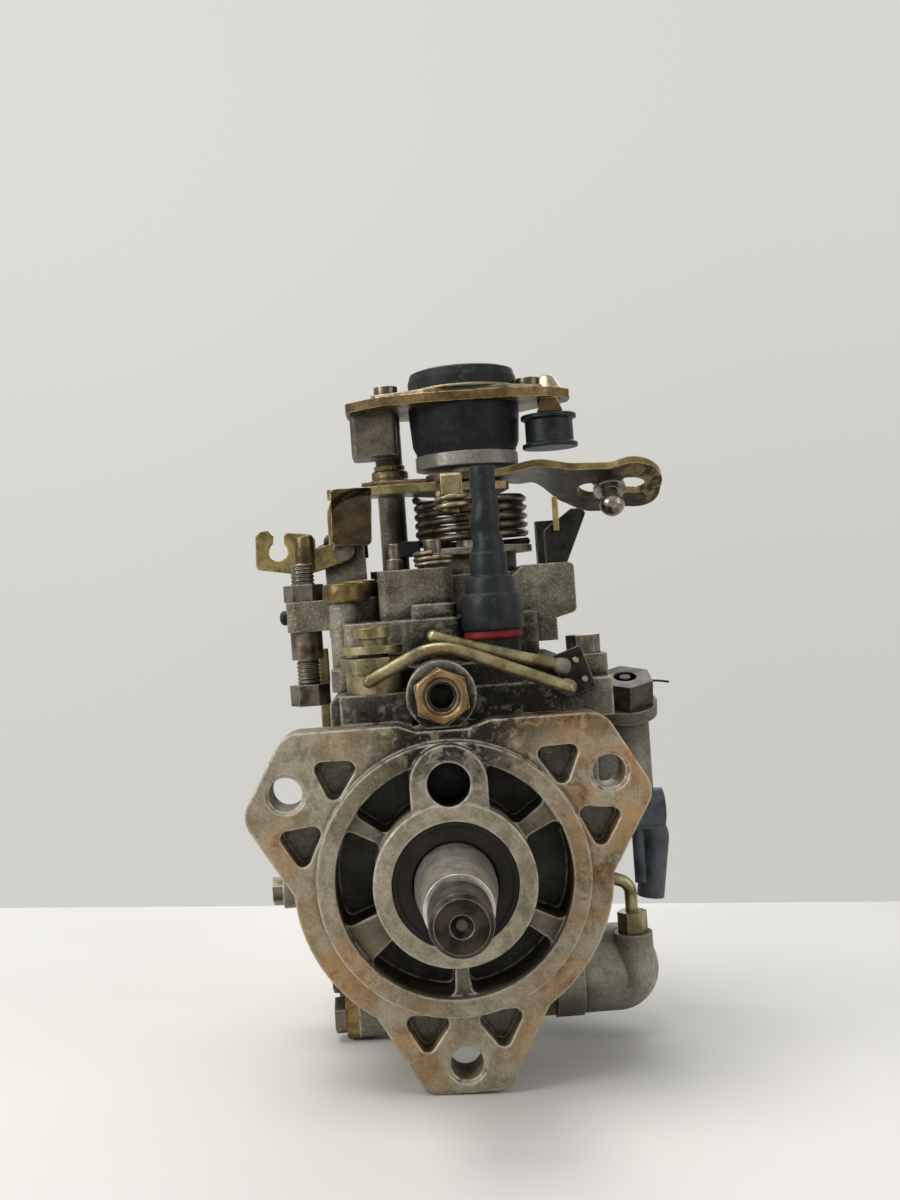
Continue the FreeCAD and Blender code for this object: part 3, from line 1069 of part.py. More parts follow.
def cover_top_fittings():
    stud = rod("tower_screw_stem", "screw_radius", 16, (1, 42, "cover_block_top - 8"), "Z")
    nut = hexagon("tower_screw_nut", 8, 4, (1, 42, "cover_block_top"), "Z")
    full_load = joined("full_load_screw", [stud, nut])
    low = rod("tower_post_low", 2.4, 3.2, ("post_x", 42, "cover_block_top"), "Z")
    high = rod("tower_post_high", "post_radius", 15.6, ("post_x", 42, "cover_block_top - 8"), "Z")
    post = joined("tower_post", [low, high])
    tie_bolt = screw("tie_bolt", (-21, 50, "ear_top"), "Z", 9, 4.5, "screw_radius", 6)
    stem = rod("adjuster_stem", 3, 41, ("adjuster_x", 52, "ear_top - 30"), "Z")
    nuts = [
        hexagon("adjuster_nut_high", 10, 4.8, ("adjuster_x", 52, "ear_top"), "Z"),
        rod("adjuster_bush", 4.6, 8, ("adjuster_x", 52, "ear_bottom - 8"), "Z"),
        hexagon("adjuster_head", 10, 6, ("adjuster_x", 52, "ear_top - 30"), "Z"),
    ]
    adjuster = joined("adjuster_screw", [stem] + nuts)
    node("adjusting_screws", grouped("adjusting_screws", [adjuster, full_load, post, tie_bolt]))


def cold_start_lever():
    """The left-hand lever with the round notch for a cable's end."""
    up = "cold_pivot_z"
    sheet_outline = [
        (-50, f"{up} + 6"), (-48.2, f"{up} + 7.6"), (-46.4, f"{up} + 7.4"), (-44.9, f"{up} + 5.4"),
        (-42.4, f"{up} + 5.4"), (-40.7, f"{up} + 6.7"), (-36.4, f"{up} + 6"), (-32, f"{up} + 4"),
        (-20.5, f"{up} + 4"), (-20.5, f"{up} - 4.5"), (-33, f"{up} - 7"), (-40.6, f"{up} - 6"),
        (-49.6, f"{up} - 4.8"), (-51.2, f"{up} - 3.5"),
    ]
    flat = plate("cold_sheet_raw", sheet_outline, 3, (0, "cold_plate_y", 0), "-Y")
    notch = rod("cold_notch", 2.7, 8, (-44, "cold_plate_y - 5", f"{up} + 1"), "Y")
    mouth = block("cold_notch_mouth", (-46.1, "cold_plate_y - 5", f"{up} + 1"),
                  (-41.9, "cold_plate_y + 3", f"{up} + 12"))
    pivot = rod("cold_pivot", 3, 9, ("cold_pivot_x", "cold_plate_y - 4", up), "Y")
    head = rod("cold_pivot_head", 4.2, 1, ("cold_pivot_x", "cold_plate_y - 4", up), "Y")
    node("cold_start_lever", joined("cold_start_lever", [cut("cold_hook", flat, [notch, mouth]), pivot,
                                                         head]))


def side_valve():
    tilted = "vector(1;0;0); side_plug_tilt"
    spot = ("side_valve_x", "side_valve_y", "side_valve_top")
    body = rod("side_valve_barrel", 7, "side_valve_top - 5", ("side_valve_x", "side_valve_y", 6), "Z")
    neck = rod("side_valve_neck", 6.5, 11, (47, "side_valve_y", 14), "X")
    collar = rod("side_valve_collar", 9.8, 4, spot, tilted)
    top = rod("side_valve_bore", "4.5 + running_gap", 12, tilted_along(-4), tilted)
    node("side_valve_body", cut("side_valve_body", joined("side_valve_blank", [body, neck, collar]), [top]))
    nut = hexagon("side_plug_hex", 15.6, 8, tilted_along(4), tilted, spin=30)
    stem = rod("side_plug_stem", 4.5, 7, tilted_along(-3), tilted)
    socket = cut("side_plug_socket", rod("side_plug_well", 3.6, 4, tilted_along(9), tilted),
                 [rod("side_plug_pin", 1.7, 4, tilted_along(8.5), tilted)])
    node("side_plug", cut("side_plug", joined("side_plug_blank", [nut, stem]), [socket]))
    eye = rounded("banjo_eye", block("banjo_eye_raw", (56.8, "side_valve_y - 6", -6),
                                     (63.5, "side_valve_y + 6", 6)),
                  2, along_x)
    parts = [
        eye, rod("banjo_head", 5.9, 4.6, (63, "side_valve_y", 0), "X"),
        rod("banjo_drain", 1.8, 18, (59.2, "side_valve_y", -23), "Z"),
        bent_tube("spill_hose", (61, -2), (65.8, -9), (62.8, -28.8), 5, 4.3, "side_valve_y + 5"),
    ]
    node("spill_connector", joined("spill_connector", parts))


def tilted_along(distance):
    """A point on the side plug's axis, at a distance above the valve's top."""
    return ("side_valve_x", f"side_valve_y - {distance} * sin(side_plug_tilt)",
            f"side_valve_top + {distance} * cos(side_plug_tilt)")


def side_bracket():
    """The dark arm that rises from the cover's right boss towards the throttle lever, and its block behind."""
    up = "right_boss_top"
    arm = plate("side_arm_raw", [(35, up), (41.3, up), (47.8, f"{up} + 14.5"), (46.6, f"{up} + 16"),
                                 (43.4, f"{up} + 16"), (35, f"{up} + 10")], 3, (0, 64, 0), "-Y")
    arm = rounded("side_arm", arm, 1, lambda edge: upright(edge) and edge.Vertexes[0].X > 43)
    rear = block("side_arm_block", (32.8, 63, up), (38.5, 67.5, f"{up} + 13"))
    node("side_bracket", joined("side_bracket", [arm, rear]))


def main():
    pump_housing()
    drive_shaft()
    shaft_key()
    shaft_seal()
    feed_pump()
    node("drive_gear", gear("drive_gear", "drive_teeth", "shaft_radius", (0, "gear_front + gear_width", 0),
                            0))
    cross_coupling()
    roller_ring()
    cam_plate()
    plunger_return()
    control_spool()
    governor()
    governor_lever()
    timer()
    screws = distributor_head() + governor_cover()
    node("housing_screws", grouped("housing_screws", screws))
    shutoff_solenoid()
    throttle()
    throttle_sensor()
    sensor_supports()
    front_fittings()
    fuel_pipes()
    sensor_connector()
    cover_top_fittings()
    cold_start_lever()
    side_valve()
    side_bracket()
    doc.recompute()
    for thing in doc.Objects:
        if any(mark in thing.State for mark in ("Invalid", "Error")):
            raise RuntimeError(f"{thing.Label} did not build: {thing.State}")
    for thing in nodes:
        if thing.Shape.isNull() or not thing.Shape.isValid() or not thing.Shape.Solids:
            raise RuntimeError(f"{thing.Label} is not a sound solid")
    os.makedirs("parts", exist_ok=True)
    for thing in nodes:
        thing.Shape.exportStep(f"parts/{thing.Label}.step")
    print(len(nodes), "sub-parts written")


main()
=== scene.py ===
import math

import bmesh
import bpy
from mathutils import Matrix, Vector


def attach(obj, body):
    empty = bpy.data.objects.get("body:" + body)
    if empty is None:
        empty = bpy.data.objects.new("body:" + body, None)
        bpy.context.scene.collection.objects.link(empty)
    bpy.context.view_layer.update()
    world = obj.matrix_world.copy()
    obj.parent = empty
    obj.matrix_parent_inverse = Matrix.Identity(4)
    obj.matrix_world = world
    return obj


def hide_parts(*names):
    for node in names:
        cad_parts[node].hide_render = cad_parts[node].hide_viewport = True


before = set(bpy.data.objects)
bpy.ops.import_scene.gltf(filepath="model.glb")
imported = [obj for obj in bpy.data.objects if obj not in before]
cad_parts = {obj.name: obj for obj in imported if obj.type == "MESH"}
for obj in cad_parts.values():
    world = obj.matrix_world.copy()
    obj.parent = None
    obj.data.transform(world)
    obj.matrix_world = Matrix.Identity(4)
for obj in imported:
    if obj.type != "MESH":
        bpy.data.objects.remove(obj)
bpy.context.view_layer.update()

# Looks of a used diesel injection pump: oily cast aluminium, yellow zinc plates, dark rubber and steel.
# Places and sizes are in millimetres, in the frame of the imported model: the shaft lies on Y, the front faces
# -Y, Z is up. Colours are written as they are seen on a screen, from 0 to 255.

MM = 0.001

# The photograph's camera, in millimetres and pixels of a 900 by 1200 picture
PHOTO_WIDTH, PHOTO_HEIGHT = 900, 1200
CAMERA_AT = (-5.5, -310.0, 69.5)
FOCAL_PIXELS = 1245
SHAFT_VANISHES_AT = 413
PUMP_TILT = math.radians(4.0)
SENSOR_HEIGHT = 36.0

# The table that the pump stands on: its height below the shaft, and its slopes along X and Y
TABLE_HEIGHT = -54.6
TABLE_SLOPE_X = -0.07
TABLE_SLOPE_Y = -0.047
TABLE_BACK = 240
TABLE_FRONT = -1500
TABLE_SIDE = 1500
TABLE_COLOUR = (225, 222, 217)

# Upright axes, as (x, y)
THROTTLE_AXIS = (14, 72)
STAND_AXIS = (-10, 80)
TOWER_SCREW = (1, 42)
ADJUSTER = (-37, 52)
TIE_BOLT = (-21, 50)
COLUMN_BOLT = (-24.6, 37.5)
BOOT_AXIS = (15.5, 26.5)
BOBBIN_AXIS = (39.2, 66)
SIDE_PLUG_AXIS = (58, 76)

# Level axes that point at the camera, as (x, z)
INLET_AXIS = (0, 44.8)
PORT_AXIS = (0, 24.4)
COLD_PIVOT = (-25, 85.5)
HOOK_NOTCH = (-44.4, 86.6)

# Where the finish of a solid changes, some of it to painted shade in bores and on a folded tab
CLAMP_TOP = 129.9
STOP_TAB_TOP = 100.5
STOP_TAB_FRONT, STOP_TAB_SIDE = 56, -14
INLET_BORE = 4.9
PORT_BORE, PORT_FRONT, PORT_BACK = 5.5, -8.8, 12
PLUG_SOCKET = 4.6
SHAFT_TIP, THREAD_END = -46.6, -34

# Turned faces of the flange, the floors of its pockets, and the reach of its windows painted in shade
TURNED_FACES = (0, -10)
POCKET_FLOOR = (1.5, 2.5)
WINDOWS_RADIUS = 31
WINDOWS_DEPTH = (-3.7, 1.0)

UPWARD = (0, 0, 1)
TO_FRONT = (0, -1, 0)
TO_BACK = (0, 1, 0)
TO_LEFT = (-1, 0, 0)
TO_RIGHT = (1, 0, 0)


def tone(red, green, blue):
    """A colour as it is seen on a screen, turned into the linear values that a shader takes."""
    def linear(part):
        share = part / 255
        return share / 12.92 if share <= 0.04045 else ((share + 0.055) / 1.055) ** 2.4
    return (linear(red), linear(green), linear(blue), 1.0)


# Materials

class Finish:
    """One material and the few kinds of node that every surface here is made from."""

    def __init__(self, name):
        self.material = bpy.data.materials.new(name)
        self.material.use_nodes = True
        self.tree = self.material.node_tree
        self.shader = self.tree.nodes["Principled BSDF"]
        self.place = self.make("ShaderNodeTexCoord").outputs["Object"]
        self.normal = self.make("ShaderNodeNewGeometry").outputs["Normal"]

    def make(self, kind, **settings):
        node = self.tree.nodes.new(kind)
        for key, value in settings.items():
            setattr(node, key, value)
        return node

    def feed(self, socket, value):
        """Link a socket to another, or set it to a plain value."""
        if isinstance(value, bpy.types.NodeSocket):
            self.tree.links.new(value, socket)
        else:
            socket.default_value = value

    def noise(self, size, detail=4.0, roughness=0.55, distortion=0.0, stretch=(1, 1, 1)):
        """Cloudy noise whose patches are about size millimetres across."""
        scaled = self.make("ShaderNodeMapping")
        self.feed(scaled.inputs["Vector"], self.place)
        scaled.inputs["Scale"].default_value = stretch
        node = self.make("ShaderNodeTexNoise")
        self.feed(node.inputs["Vector"], scaled.outputs[0])
        node.inputs["Scale"].default_value = 1 / (size * MM)
        node.inputs["Detail"].default_value = detail
        node.inputs["Roughness"].default_value = roughness
        node.inputs["Distortion"].default_value = distortion
        return node.outputs["Fac"]

    def pits(self, size):
        """Distance to scattered points about size millimetres apart, for cast grain."""
        node = self.make("ShaderNodeTexVoronoi")
        self.feed(node.inputs["Vector"], self.place)
        node.inputs["Scale"].default_value = 1 / (size * MM)
        return node.outputs["Distance"]

    def spread(self, value, low, high, start=0.0, end=1.0):
        """Stretch a value smoothly so that low becomes start and high becomes end."""
        node = self.make("ShaderNodeMapRange", interpolation_type="SMOOTHSTEP")
        self.feed(node.inputs["Value"], value)
        node.inputs["From Min"].default_value = low
        node.inputs["From Max"].default_value = high
        node.inputs["To Min"].default_value = start
        node.inputs["To Max"].default_value = end
        return node.outputs["Result"]

    def compute(self, operation, first, second):
        """A sum, product or difference of two numbers, kept between 0 and 1."""
        node = self.make("ShaderNodeMath", operation=operation, use_clamp=True)
        self.feed(node.inputs[0], first)
        self.feed(node.inputs[1], second)
        return node.outputs[0]

    def both(self, first, second):
        return self.compute("MULTIPLY", first, second)

    def either(self, first, second):
        return self.compute("ADD", first, second)

    def without(self, first, second):
        return self.compute("SUBTRACT", first, second)

    def mix(self, share, first, second):
        """Blend two colours by a share."""
        node = self.make("ShaderNodeMix", data_type="RGBA")
        self.feed(node.inputs["Factor"], share)
        self.feed(node.inputs["A"], first)
        self.feed(node.inputs["B"], second)
        return node.outputs["Result"]

    def blend(self, share, first, second):
        """Blend two numbers by a share."""
        node = self.make("ShaderNodeMix", data_type="FLOAT")
        self.feed(node.inputs["Factor"], share)
        self.feed(node.inputs["A"], first)
        self.feed(node.inputs["B"], second)
        return node.outputs["Result"]

    def part(self, vector, axis):
        node = self.make("ShaderNodeSeparateXYZ")
        self.feed(node.inputs[0], vector)
        return node.outputs[axis]

    def shade(self, colour, grain, depth):
        """Darken and lighten a colour by a grain around its middle."""
        factor = self.spread(grain, 0.25, 0.75, 1 - depth, 1 + depth)
        node = self.make("ShaderNodeVectorMath", operation="SCALE")
        self.feed(node.inputs[0], colour)
        self.feed(node.inputs["Scale"], factor)
        return node.outputs[0]

    def spot(self, centre, radius):
        """1 at a place in millimetres, fading to 0 at radius millimetres from it."""
        node = self.make("ShaderNodeVectorMath", operation="DISTANCE")
        self.feed(node.inputs[0], self.place)
        node.inputs[1].default_value = [part * MM for part in centre]
        return self.spread(node.outputs["Value"], 0.15 * radius * MM, radius * MM, 1.0, 0.0)

    def spots(self, places, pattern=1.0):
        """The sum of some spots, given as (centre, radius, share), each broken up by a pattern."""
        total = 0.0
        for centre, radius, share in places:
            total = self.either(total, self.both(self.both(self.spot(centre, radius), pattern), share))
        return total

    def within(self, radius):
        """1 within a radius in millimetres of the shaft's axis, else 0."""
        flat = self.make("ShaderNodeVectorMath", operation="MULTIPLY")
        self.feed(flat.inputs[0], self.place)
        flat.inputs[1].default_value = (1, 0, 1)
        far = self.make("ShaderNodeVectorMath", operation="LENGTH")
        self.feed(far.inputs[0], flat.outputs[0])
        return self.spread(far.outputs["Value"], (radius - 0.5) * MM, (radius + 0.5) * MM, 1.0, 0.0)

    def behind(self, start, end):
        """0 in front of start and 1 behind end, along Y in millimetres."""
        return self.spread(self.part(self.place, "Y"), start * MM, end * MM)

    def level(self, axis, places, width=0.25):
        """1 where a coordinate in millimetres is at one of some places, else 0."""
        found = 0.0
        value = self.part(self.place, axis)
        for place in places:
            node = self.make("ShaderNodeMath", operation="COMPARE")
            self.feed(node.inputs[0], value)
            node.inputs[1].default_value = place * MM
            node.inputs[2].default_value = width * MM
            found = self.either(found, node.outputs[0])
        return found

    def hollows(self, reach):
        """1 deep in corners and recesses, 0 in the open, from ambient occlusion; the finishes paint shade with
        it.
        """
        node = self.make("ShaderNodeAmbientOcclusion", samples=8, only_local=False)
        node.inputs["Distance"].default_value = reach * MM
        return self.without(1.0, node.outputs["AO"])

    def edges(self, radius):
        """1 on sharp edges, 0 on flats, from the difference to a rounded normal."""
        soft = self.make("ShaderNodeBevel", samples=6)
        soft.inputs["Radius"].default_value = radius * MM
        dot = self.make("ShaderNodeVectorMath", operation="DOT_PRODUCT")
        self.feed(dot.inputs[0], soft.outputs[0])
        self.feed(dot.inputs[1], self.normal)
        return self.spread(dot.outputs["Value"], 0.995, 0.80, 0.0, 1.0)

    def relief(self, heights, rounding):
        """Bumps, given as (height, size in millimetres), on top of rounded edges."""
        soft = self.make("ShaderNodeBevel", samples=6)
        soft.inputs["Radius"].default_value = rounding * MM
        normal = soft.outputs[0]
        for height, depth in heights:
            bump = self.make("ShaderNodeBump")
            bump.inputs["Strength"].default_value = 1.0
            bump.inputs["Distance"].default_value = depth * MM
            self.feed(bump.inputs["Height"], height)
            self.feed(bump.inputs["Normal"], normal)
            normal = bump.outputs[0]
        self.feed(self.shader.inputs["Normal"], normal)

    def finish(self, colour, roughness, metal, gloss):
        self.feed(self.shader.inputs["Base Color"], colour)
        self.feed(self.shader.inputs["Roughness"], roughness)
        self.feed(self.shader.inputs["Metallic"], metal)
        self.shader.inputs["Specular IOR Level"].default_value = gloss
        return self.material


# Oil, and painted shade in corners.
OIL_AND_SHADE = tone(26, 21, 14)
# Painted shade in windows and deep recesses.
DEEP_SHADE = tone(16, 13, 9)
TAN = tone(164, 126, 80)
RUST = tone(116, 74, 38)
VARNISH = tone(112, 88, 58)
PEBBLE = tone(112, 109, 98)
SAND_GRAIN = tone(186, 176, 150)
# The next three colours: rubbed wear, and painted highlights on edges.
ALLOY_WEAR_AND_HIGHLIGHT = tone(206, 200, 182)
ZINC_WEAR_AND_HIGHLIGHT = tone(212, 192, 132)
STEEL_WEAR_AND_HIGHLIGHT = tone(206, 200, 186)
BARE_GOLD = tone(142, 122, 78)
COPPER_BLUSH = tone(132, 92, 62)
# The next two colours: dirt, and painted shade in corners.
ZINC_DIRT_AND_SHADE = tone(34, 28, 18)
STEEL_DIRT_AND_SHADE = tone(32, 26, 18)


def shifted(colour, change):
    """A colour made lighter or darker by the same amount in each part."""
    return tone(*[part + change for part in colour])


def cast_clouds(look, pale, deep):
    """Wide and small clouds of pale and deep metal."""
    wide = look.spread(look.noise(18, detail=5), 0.36, 0.66)
    small = look.spread(look.noise(3.2, detail=7, roughness=0.65), 0.45, 0.72, 0.0, 0.6)
    return look.mix(small, look.mix(wide, tone(*pale), tone(*deep)), tone(*deep))


def turned_faces(look, base, pale, places):
    """The base with turned front faces at some Y and pebbly pocket floors behind them, and both masks."""
    front = look.spread(look.part(look.normal, "Y"), -0.95, -0.9, 1.0, 0.0)
    turned = look.both(front, look.level("Y", places))
    sunk = look.both(front, look.behind(*POCKET_FLOOR))
    clouds = look.spread(look.noise(7, detail=8, roughness=0.66), 0.4, 0.62)
    base = look.mix(turned, base, look.mix(clouds, shifted(pale, 6), shifted(pale, -28)))
    return look.mix(look.both(sunk, 0.85), base, PEBBLE), turned, sunk


def rusted(look, base, stains, sunk):
    """The base with tan stains and brown veins round some places."""
    near = look.without(look.spots(stains), sunk)
    wide = look.spread(look.noise(15, detail=6, roughness=0.6), 0.34, 0.62)
    veins = look.spread(look.noise(7, detail=10, roughness=0.75, distortion=0.9), 0.5, 0.64)
    base = look.mix(look.both(look.both(near, wide), 0.8), base, TAN)
    return look.mix(look.both(look.both(near, veins), 0.85), base, RUST)


def cast_dirt(look, grime_and_shade, oil, turned, corner_shade_reach):
    """How dirty a casting is, with painted shade in its corners, dirt in scattered patches and oil round some
    places.
    """
    # Painted shade: corners darkened from ambient occlusion.
    corners = look.spread(look.hollows(corner_shade_reach), 0.1, 0.5)
    patches = look.spread(look.noise(5, detail=9, roughness=0.74), 0.52, 0.7)
    patches = look.both(patches, look.blend(turned, 0.7, 0.4))
    blotches = look.spread(look.noise(4, detail=9, roughness=0.7, distortion=0.7), 0.36, 0.54)
    dirt_and_shade = look.both(look.either(corners, patches), grime_and_shade)
    return look.either(dirt_and_shade, look.spots(oil, blotches)) if oil else dirt_and_shade


def cast_aluminium(name, pale, deep, grime_and_shade=0.6, sand=0.12, machined=(), stains=(), oil=(), worn=0.7,
                   speckle=0.25, cave=None, edge=0.8, corner_shade_reach=4.5):
    """Cast alloy, oily and painted with shade in its corners, rubbed bright and painted with highlights on its
    edges. machined gives the Y of its turned faces, stains and oil give (place, radius, share) of rusty and
    oily patches, cave is the radius of its windows, which are painted in shade."""
    look = Finish(name)
    fine = look.noise(0.9, detail=5, roughness=0.7)
    base = cast_clouds(look, pale, deep)
    turned = sunk = 0.0
    if machined:
        base, turned, sunk = turned_faces(look, base, pale, machined)
    base = look.shade(base, fine, 0.26)
    if stains:
        base = rusted(look, base, stains, sunk)
    varnish = look.spread(look.noise(9, detail=9, roughness=0.72, distortion=0.8), 0.58, 0.74, 0.0, 0.4)
    base = look.mix(varnish, base, VARNISH)
    # Painted shade in corners, with dirt and oil, darkens the colour.
    dirt_and_shade = cast_dirt(look, grime_and_shade, oil, turned, corner_shade_reach)
    colour = look.mix(dirt_and_shade, base, OIL_AND_SHADE)
    # Painted shade: the flange's windows, or else deep recesses found by ambient occlusion, are darkened.
    if cave:
        inside = look.both(look.within(cave), look.behind(*WINDOWS_DEPTH))
        deep_shade = look.both(inside, look.spread(look.noise(6, detail=6), 0.3, 0.7, 0.9, 0.55))
        speckle = look.without(speckle, inside)
    else:
        deep_shade = look.spread(look.hollows(24), 0.6, 0.92, 0.0, 0.8)
    colour = look.mix(deep_shade, colour, DEEP_SHADE)
    grains = look.both(look.spread(look.noise(0.55, detail=2, roughness=0.6), 0.56, 0.68), speckle)
    colour = look.mix(look.both(grains, look.blend(dirt_and_shade, 1.0, 0.25)), colour, SAND_GRAIN)
    # Edges rubbed bright: wear, and painted highlights.
    rubbed_and_highlit = look.both(look.edges(edge), look.spread(look.noise(3, detail=7, roughness=0.65), 0.34, 0.54))
    colour = look.mix(look.both(rubbed_and_highlit, worn), colour, ALLOY_WEAR_AND_HIGHLIGHT)
    smooth = look.blend(turned, 1.0, 0.3)
    scratches = look.noise(0.5, detail=3, stretch=(0.12, 1, 1))
    look.relief([(look.noise(6, detail=3), 0.12), (look.both(look.pits(0.9), smooth), sand),
                 (look.both(fine, smooth), sand), (look.both(scratches, turned), 0.03)], edge)
    rough = look.blend(dirt_and_shade, look.spread(look.noise(3), 0.3, 0.7, 0.36, 0.55), 0.62)
    metal = look.blend(dirt_and_shade, look.blend(turned, 0.3, 0.5), 0.05)
    return look.finish(colour, rough, metal, 0.25)


def yellow_zinc(name, gold=(158, 138, 88), shade=(96, 84, 54), grime_and_shade=0.55, worn=0.6, chips=None):
    """Yellow-passivated steel plate gone olive and brown. chips gives the (place, radius, share) where
    bare gold shows through the darker colour that paints shade under the lever."""
    look = Finish(name)
    base = look.mix(look.spread(look.noise(7, detail=6), 0.36, 0.64), tone(*gold), tone(*shade))
    blush = look.spread(look.noise(6, detail=4, distortion=0.5), 0.55, 0.72, 0.0, 0.5)
    base = look.mix(blush, base, COPPER_BLUSH)
    base = look.shade(base, look.noise(0.8, detail=4, roughness=0.7), 0.18)
    # Painted shade: corners darkened from ambient occlusion, mixed with dirt patches.
    corners = look.spread(look.hollows(5), 0.18, 0.7)
    patches = look.spread(look.noise(3.4, detail=9, roughness=0.74), 0.5, 0.66)
    dirt_and_shade = look.both(look.either(corners, look.both(patches, 0.85)), grime_and_shade)
    colour = look.mix(dirt_and_shade, base, ZINC_DIRT_AND_SHADE)
    if chips:
        bare = look.spread(look.noise(6, detail=9, roughness=0.68, distortion=0.4), 0.5, 0.56)
        colour = look.mix(look.spots([chips], bare), colour, BARE_GOLD)
    # Edges rubbed bright: wear, and painted highlights.
    rubbed_and_highlit = look.both(look.edges(0.5), look.spread(look.noise(2.5, detail=6), 0.34, 0.54))
    colour = look.mix(look.both(rubbed_and_highlit, worn), colour, ZINC_WEAR_AND_HIGHLIGHT)
    look.relief([(look.noise(1.3, detail=6, roughness=0.65), 0.1), (patches, 0.03)], 0.35)
    return look.finish(colour, look.blend(dirt_and_shade, 0.34, 0.6), look.blend(dirt_and_shade, 0.8, 0.15), 0.45)


def steel(name, shine, dull, grime_and_shade=0.5, roughness=0.32, rings=None, worn=0.65):
    """Bare or plated steel. rings stretches fine turning marks round an axis."""
    look = Finish(name)
    base = look.mix(look.spread(look.noise(4, detail=6), 0.38, 0.66), tone(*shine), tone(*dull))
    base = look.shade(base, look.noise(0.9, detail=4, roughness=0.7), 0.14)
    # Painted shade: corners darkened from ambient occlusion, mixed with dirt patches.
    corners = look.spread(look.hollows(4), 0.2, 0.75)
    patches = look.spread(look.noise(3, detail=8, roughness=0.72), 0.52, 0.7)
    dirt_and_shade = look.both(look.either(corners, look.both(patches, 0.75)), grime_and_shade)
    colour = look.mix(dirt_and_shade, base, STEEL_DIRT_AND_SHADE)
    # Edges rubbed bright: wear, and painted highlights.
    colour = look.mix(look.both(look.edges(0.4), worn), colour, STEEL_WEAR_AND_HIGHLIGHT)
    heights = [(look.noise(1.2, detail=5), 0.015 if rings else 0.05)]
    if rings:
        heights.append((look.noise(0.35, detail=2, stretch=rings), 0.02))
    look.relief(heights, 0.3)
    return look.finish(colour, look.blend(dirt_and_shade, roughness, 0.6), look.blend(dirt_and_shade, 0.9, 0.2), 0.5)


def rubber(name, body, dust_and_sheen, dust_and_sheen_amount=0.5, roughness=0.6, gloss=0.25, rubs_and_sheen=0.3):
    """Black rubber or moulded plastic under dust and painted sheen, its edges rubbed and painted pale as
    highlights.
    """
    look = Finish(name)
    dark = tone(*[part * 0.6 for part in body])
    base = look.mix(look.spread(look.noise(7, detail=5), 0.35, 0.7), tone(*body), dark)
    film = look.spread(look.noise(3.2, detail=8, roughness=0.72), 0.5, 0.74)
    # Top faces paler: dust lying there, and painted sheen.
    on_top = look.spread(look.part(look.normal, "Z"), 0.2, 0.95)
    top_dust_and_sheen = look.both(on_top, look.spread(look.noise(2.5, detail=6), 0.35, 0.65))
    dust_and_sheen_mask = look.either(look.both(film, 0.5), look.both(top_dust_and_sheen, 0.55))
    # Edges rubbed pale: wear, and painted highlights.
    dust_and_sheen_mask = look.both(look.either(dust_and_sheen_mask, look.both(look.edges(0.5), rubs_and_sheen)), dust_and_sheen_amount)
    colour = look.mix(dust_and_sheen_mask, base, tone(*dust_and_sheen))
    look.relief([(look.noise(1.0, detail=5), 0.06), (look.noise(4, detail=3), 0.12)], 0.45)
    return look.finish(colour, look.blend(dust_and_sheen_mask, roughness, 0.85), 0.0, gloss)


def plain_stage(name, colour):
    look = Finish(name)
    shade = look.spread(look.noise(180, detail=2), 0.3, 0.7)
    return look.finish(look.mix(shade, tone(*colour), shifted(colour, -5)), 0.6, 0.0, 0.2)


# Rusty and oily places: centre, radius and share
FLANGE_STAINS = [
    ((48, 0, 8), 34, 1.0), ((40, 0, -20), 28, 0.95), ((20, 0, -42), 24, 0.75), ((-14, 0, -44), 22, 0.8),
    ((-36, 0, -22), 28, 1.0), ((-48, 0, 8), 18, 0.7), ((36, 0, 34), 32, 1.2), ((-22, 0, 36), 16, 0.5)]
FLANGE_OIL = [
    ((8, 0, 38), 26, 0.95), ((-8, 0, 36), 22, 0.75), ((30, 0, 46), 16, 0.7), ((44, 0, -2), 12, 0.5),
    ((24, 22, 40), 26, 1.6), ((-20, 18, 42), 20, 0.9), ((40, 0, 42), 14, 0.5)]
COVER_OIL = [
    ((6, 22, 50), 30, 1.0), ((14, 34, 60), 20, 0.7), ((0, 4, 45), 18, 1.0), ((24, 10, 44), 26, 1.6),
    ((-22, 10, 42), 18, 0.8), ((36, 32, 62), 20, 0.8)]
LEVER_CHIPS = ((68, 66, 100), 15, 0.75)

CASTINGS = {
    "flange_casting": dict(pale=(150, 143, 124), deep=(108, 99, 78), grime_and_shade=0.75, sand=0.1, worn=0.85,
                           machined=TURNED_FACES, stains=FLANGE_STAINS, oil=FLANGE_OIL,
                           cave=WINDOWS_RADIUS, edge=1.3, corner_shade_reach=2.2),
    "cover_casting": dict(pale=(136, 131, 114), deep=(88, 82, 66), grime_and_shade=0.85, oil=COVER_OIL, speckle=0.4),
    "smooth_casting": dict(pale=(152, 147, 132), deep=(112, 106, 92), sand=0.05, speckle=0.12),
    "head_casting": dict(pale=(130, 126, 112), deep=(92, 87, 74), grime_and_shade=0.62, sand=0.08),
    "stand_casting": dict(pale=(120, 112, 96), deep=(68, 62, 50), grime_and_shade=0.72, sand=0.06, worn=0.8,
                          speckle=0.1),
    "bright_alloy": dict(pale=(136, 134, 126), deep=(100, 96, 86), grime_and_shade=0.35, sand=0.03, worn=0.4,
                         speckle=0.05),
    "dark_hole": dict(pale=(30, 27, 22), deep=(20, 18, 14), grime_and_shade=0.5, sand=0.05, worn=0.1, speckle=0.05),
}
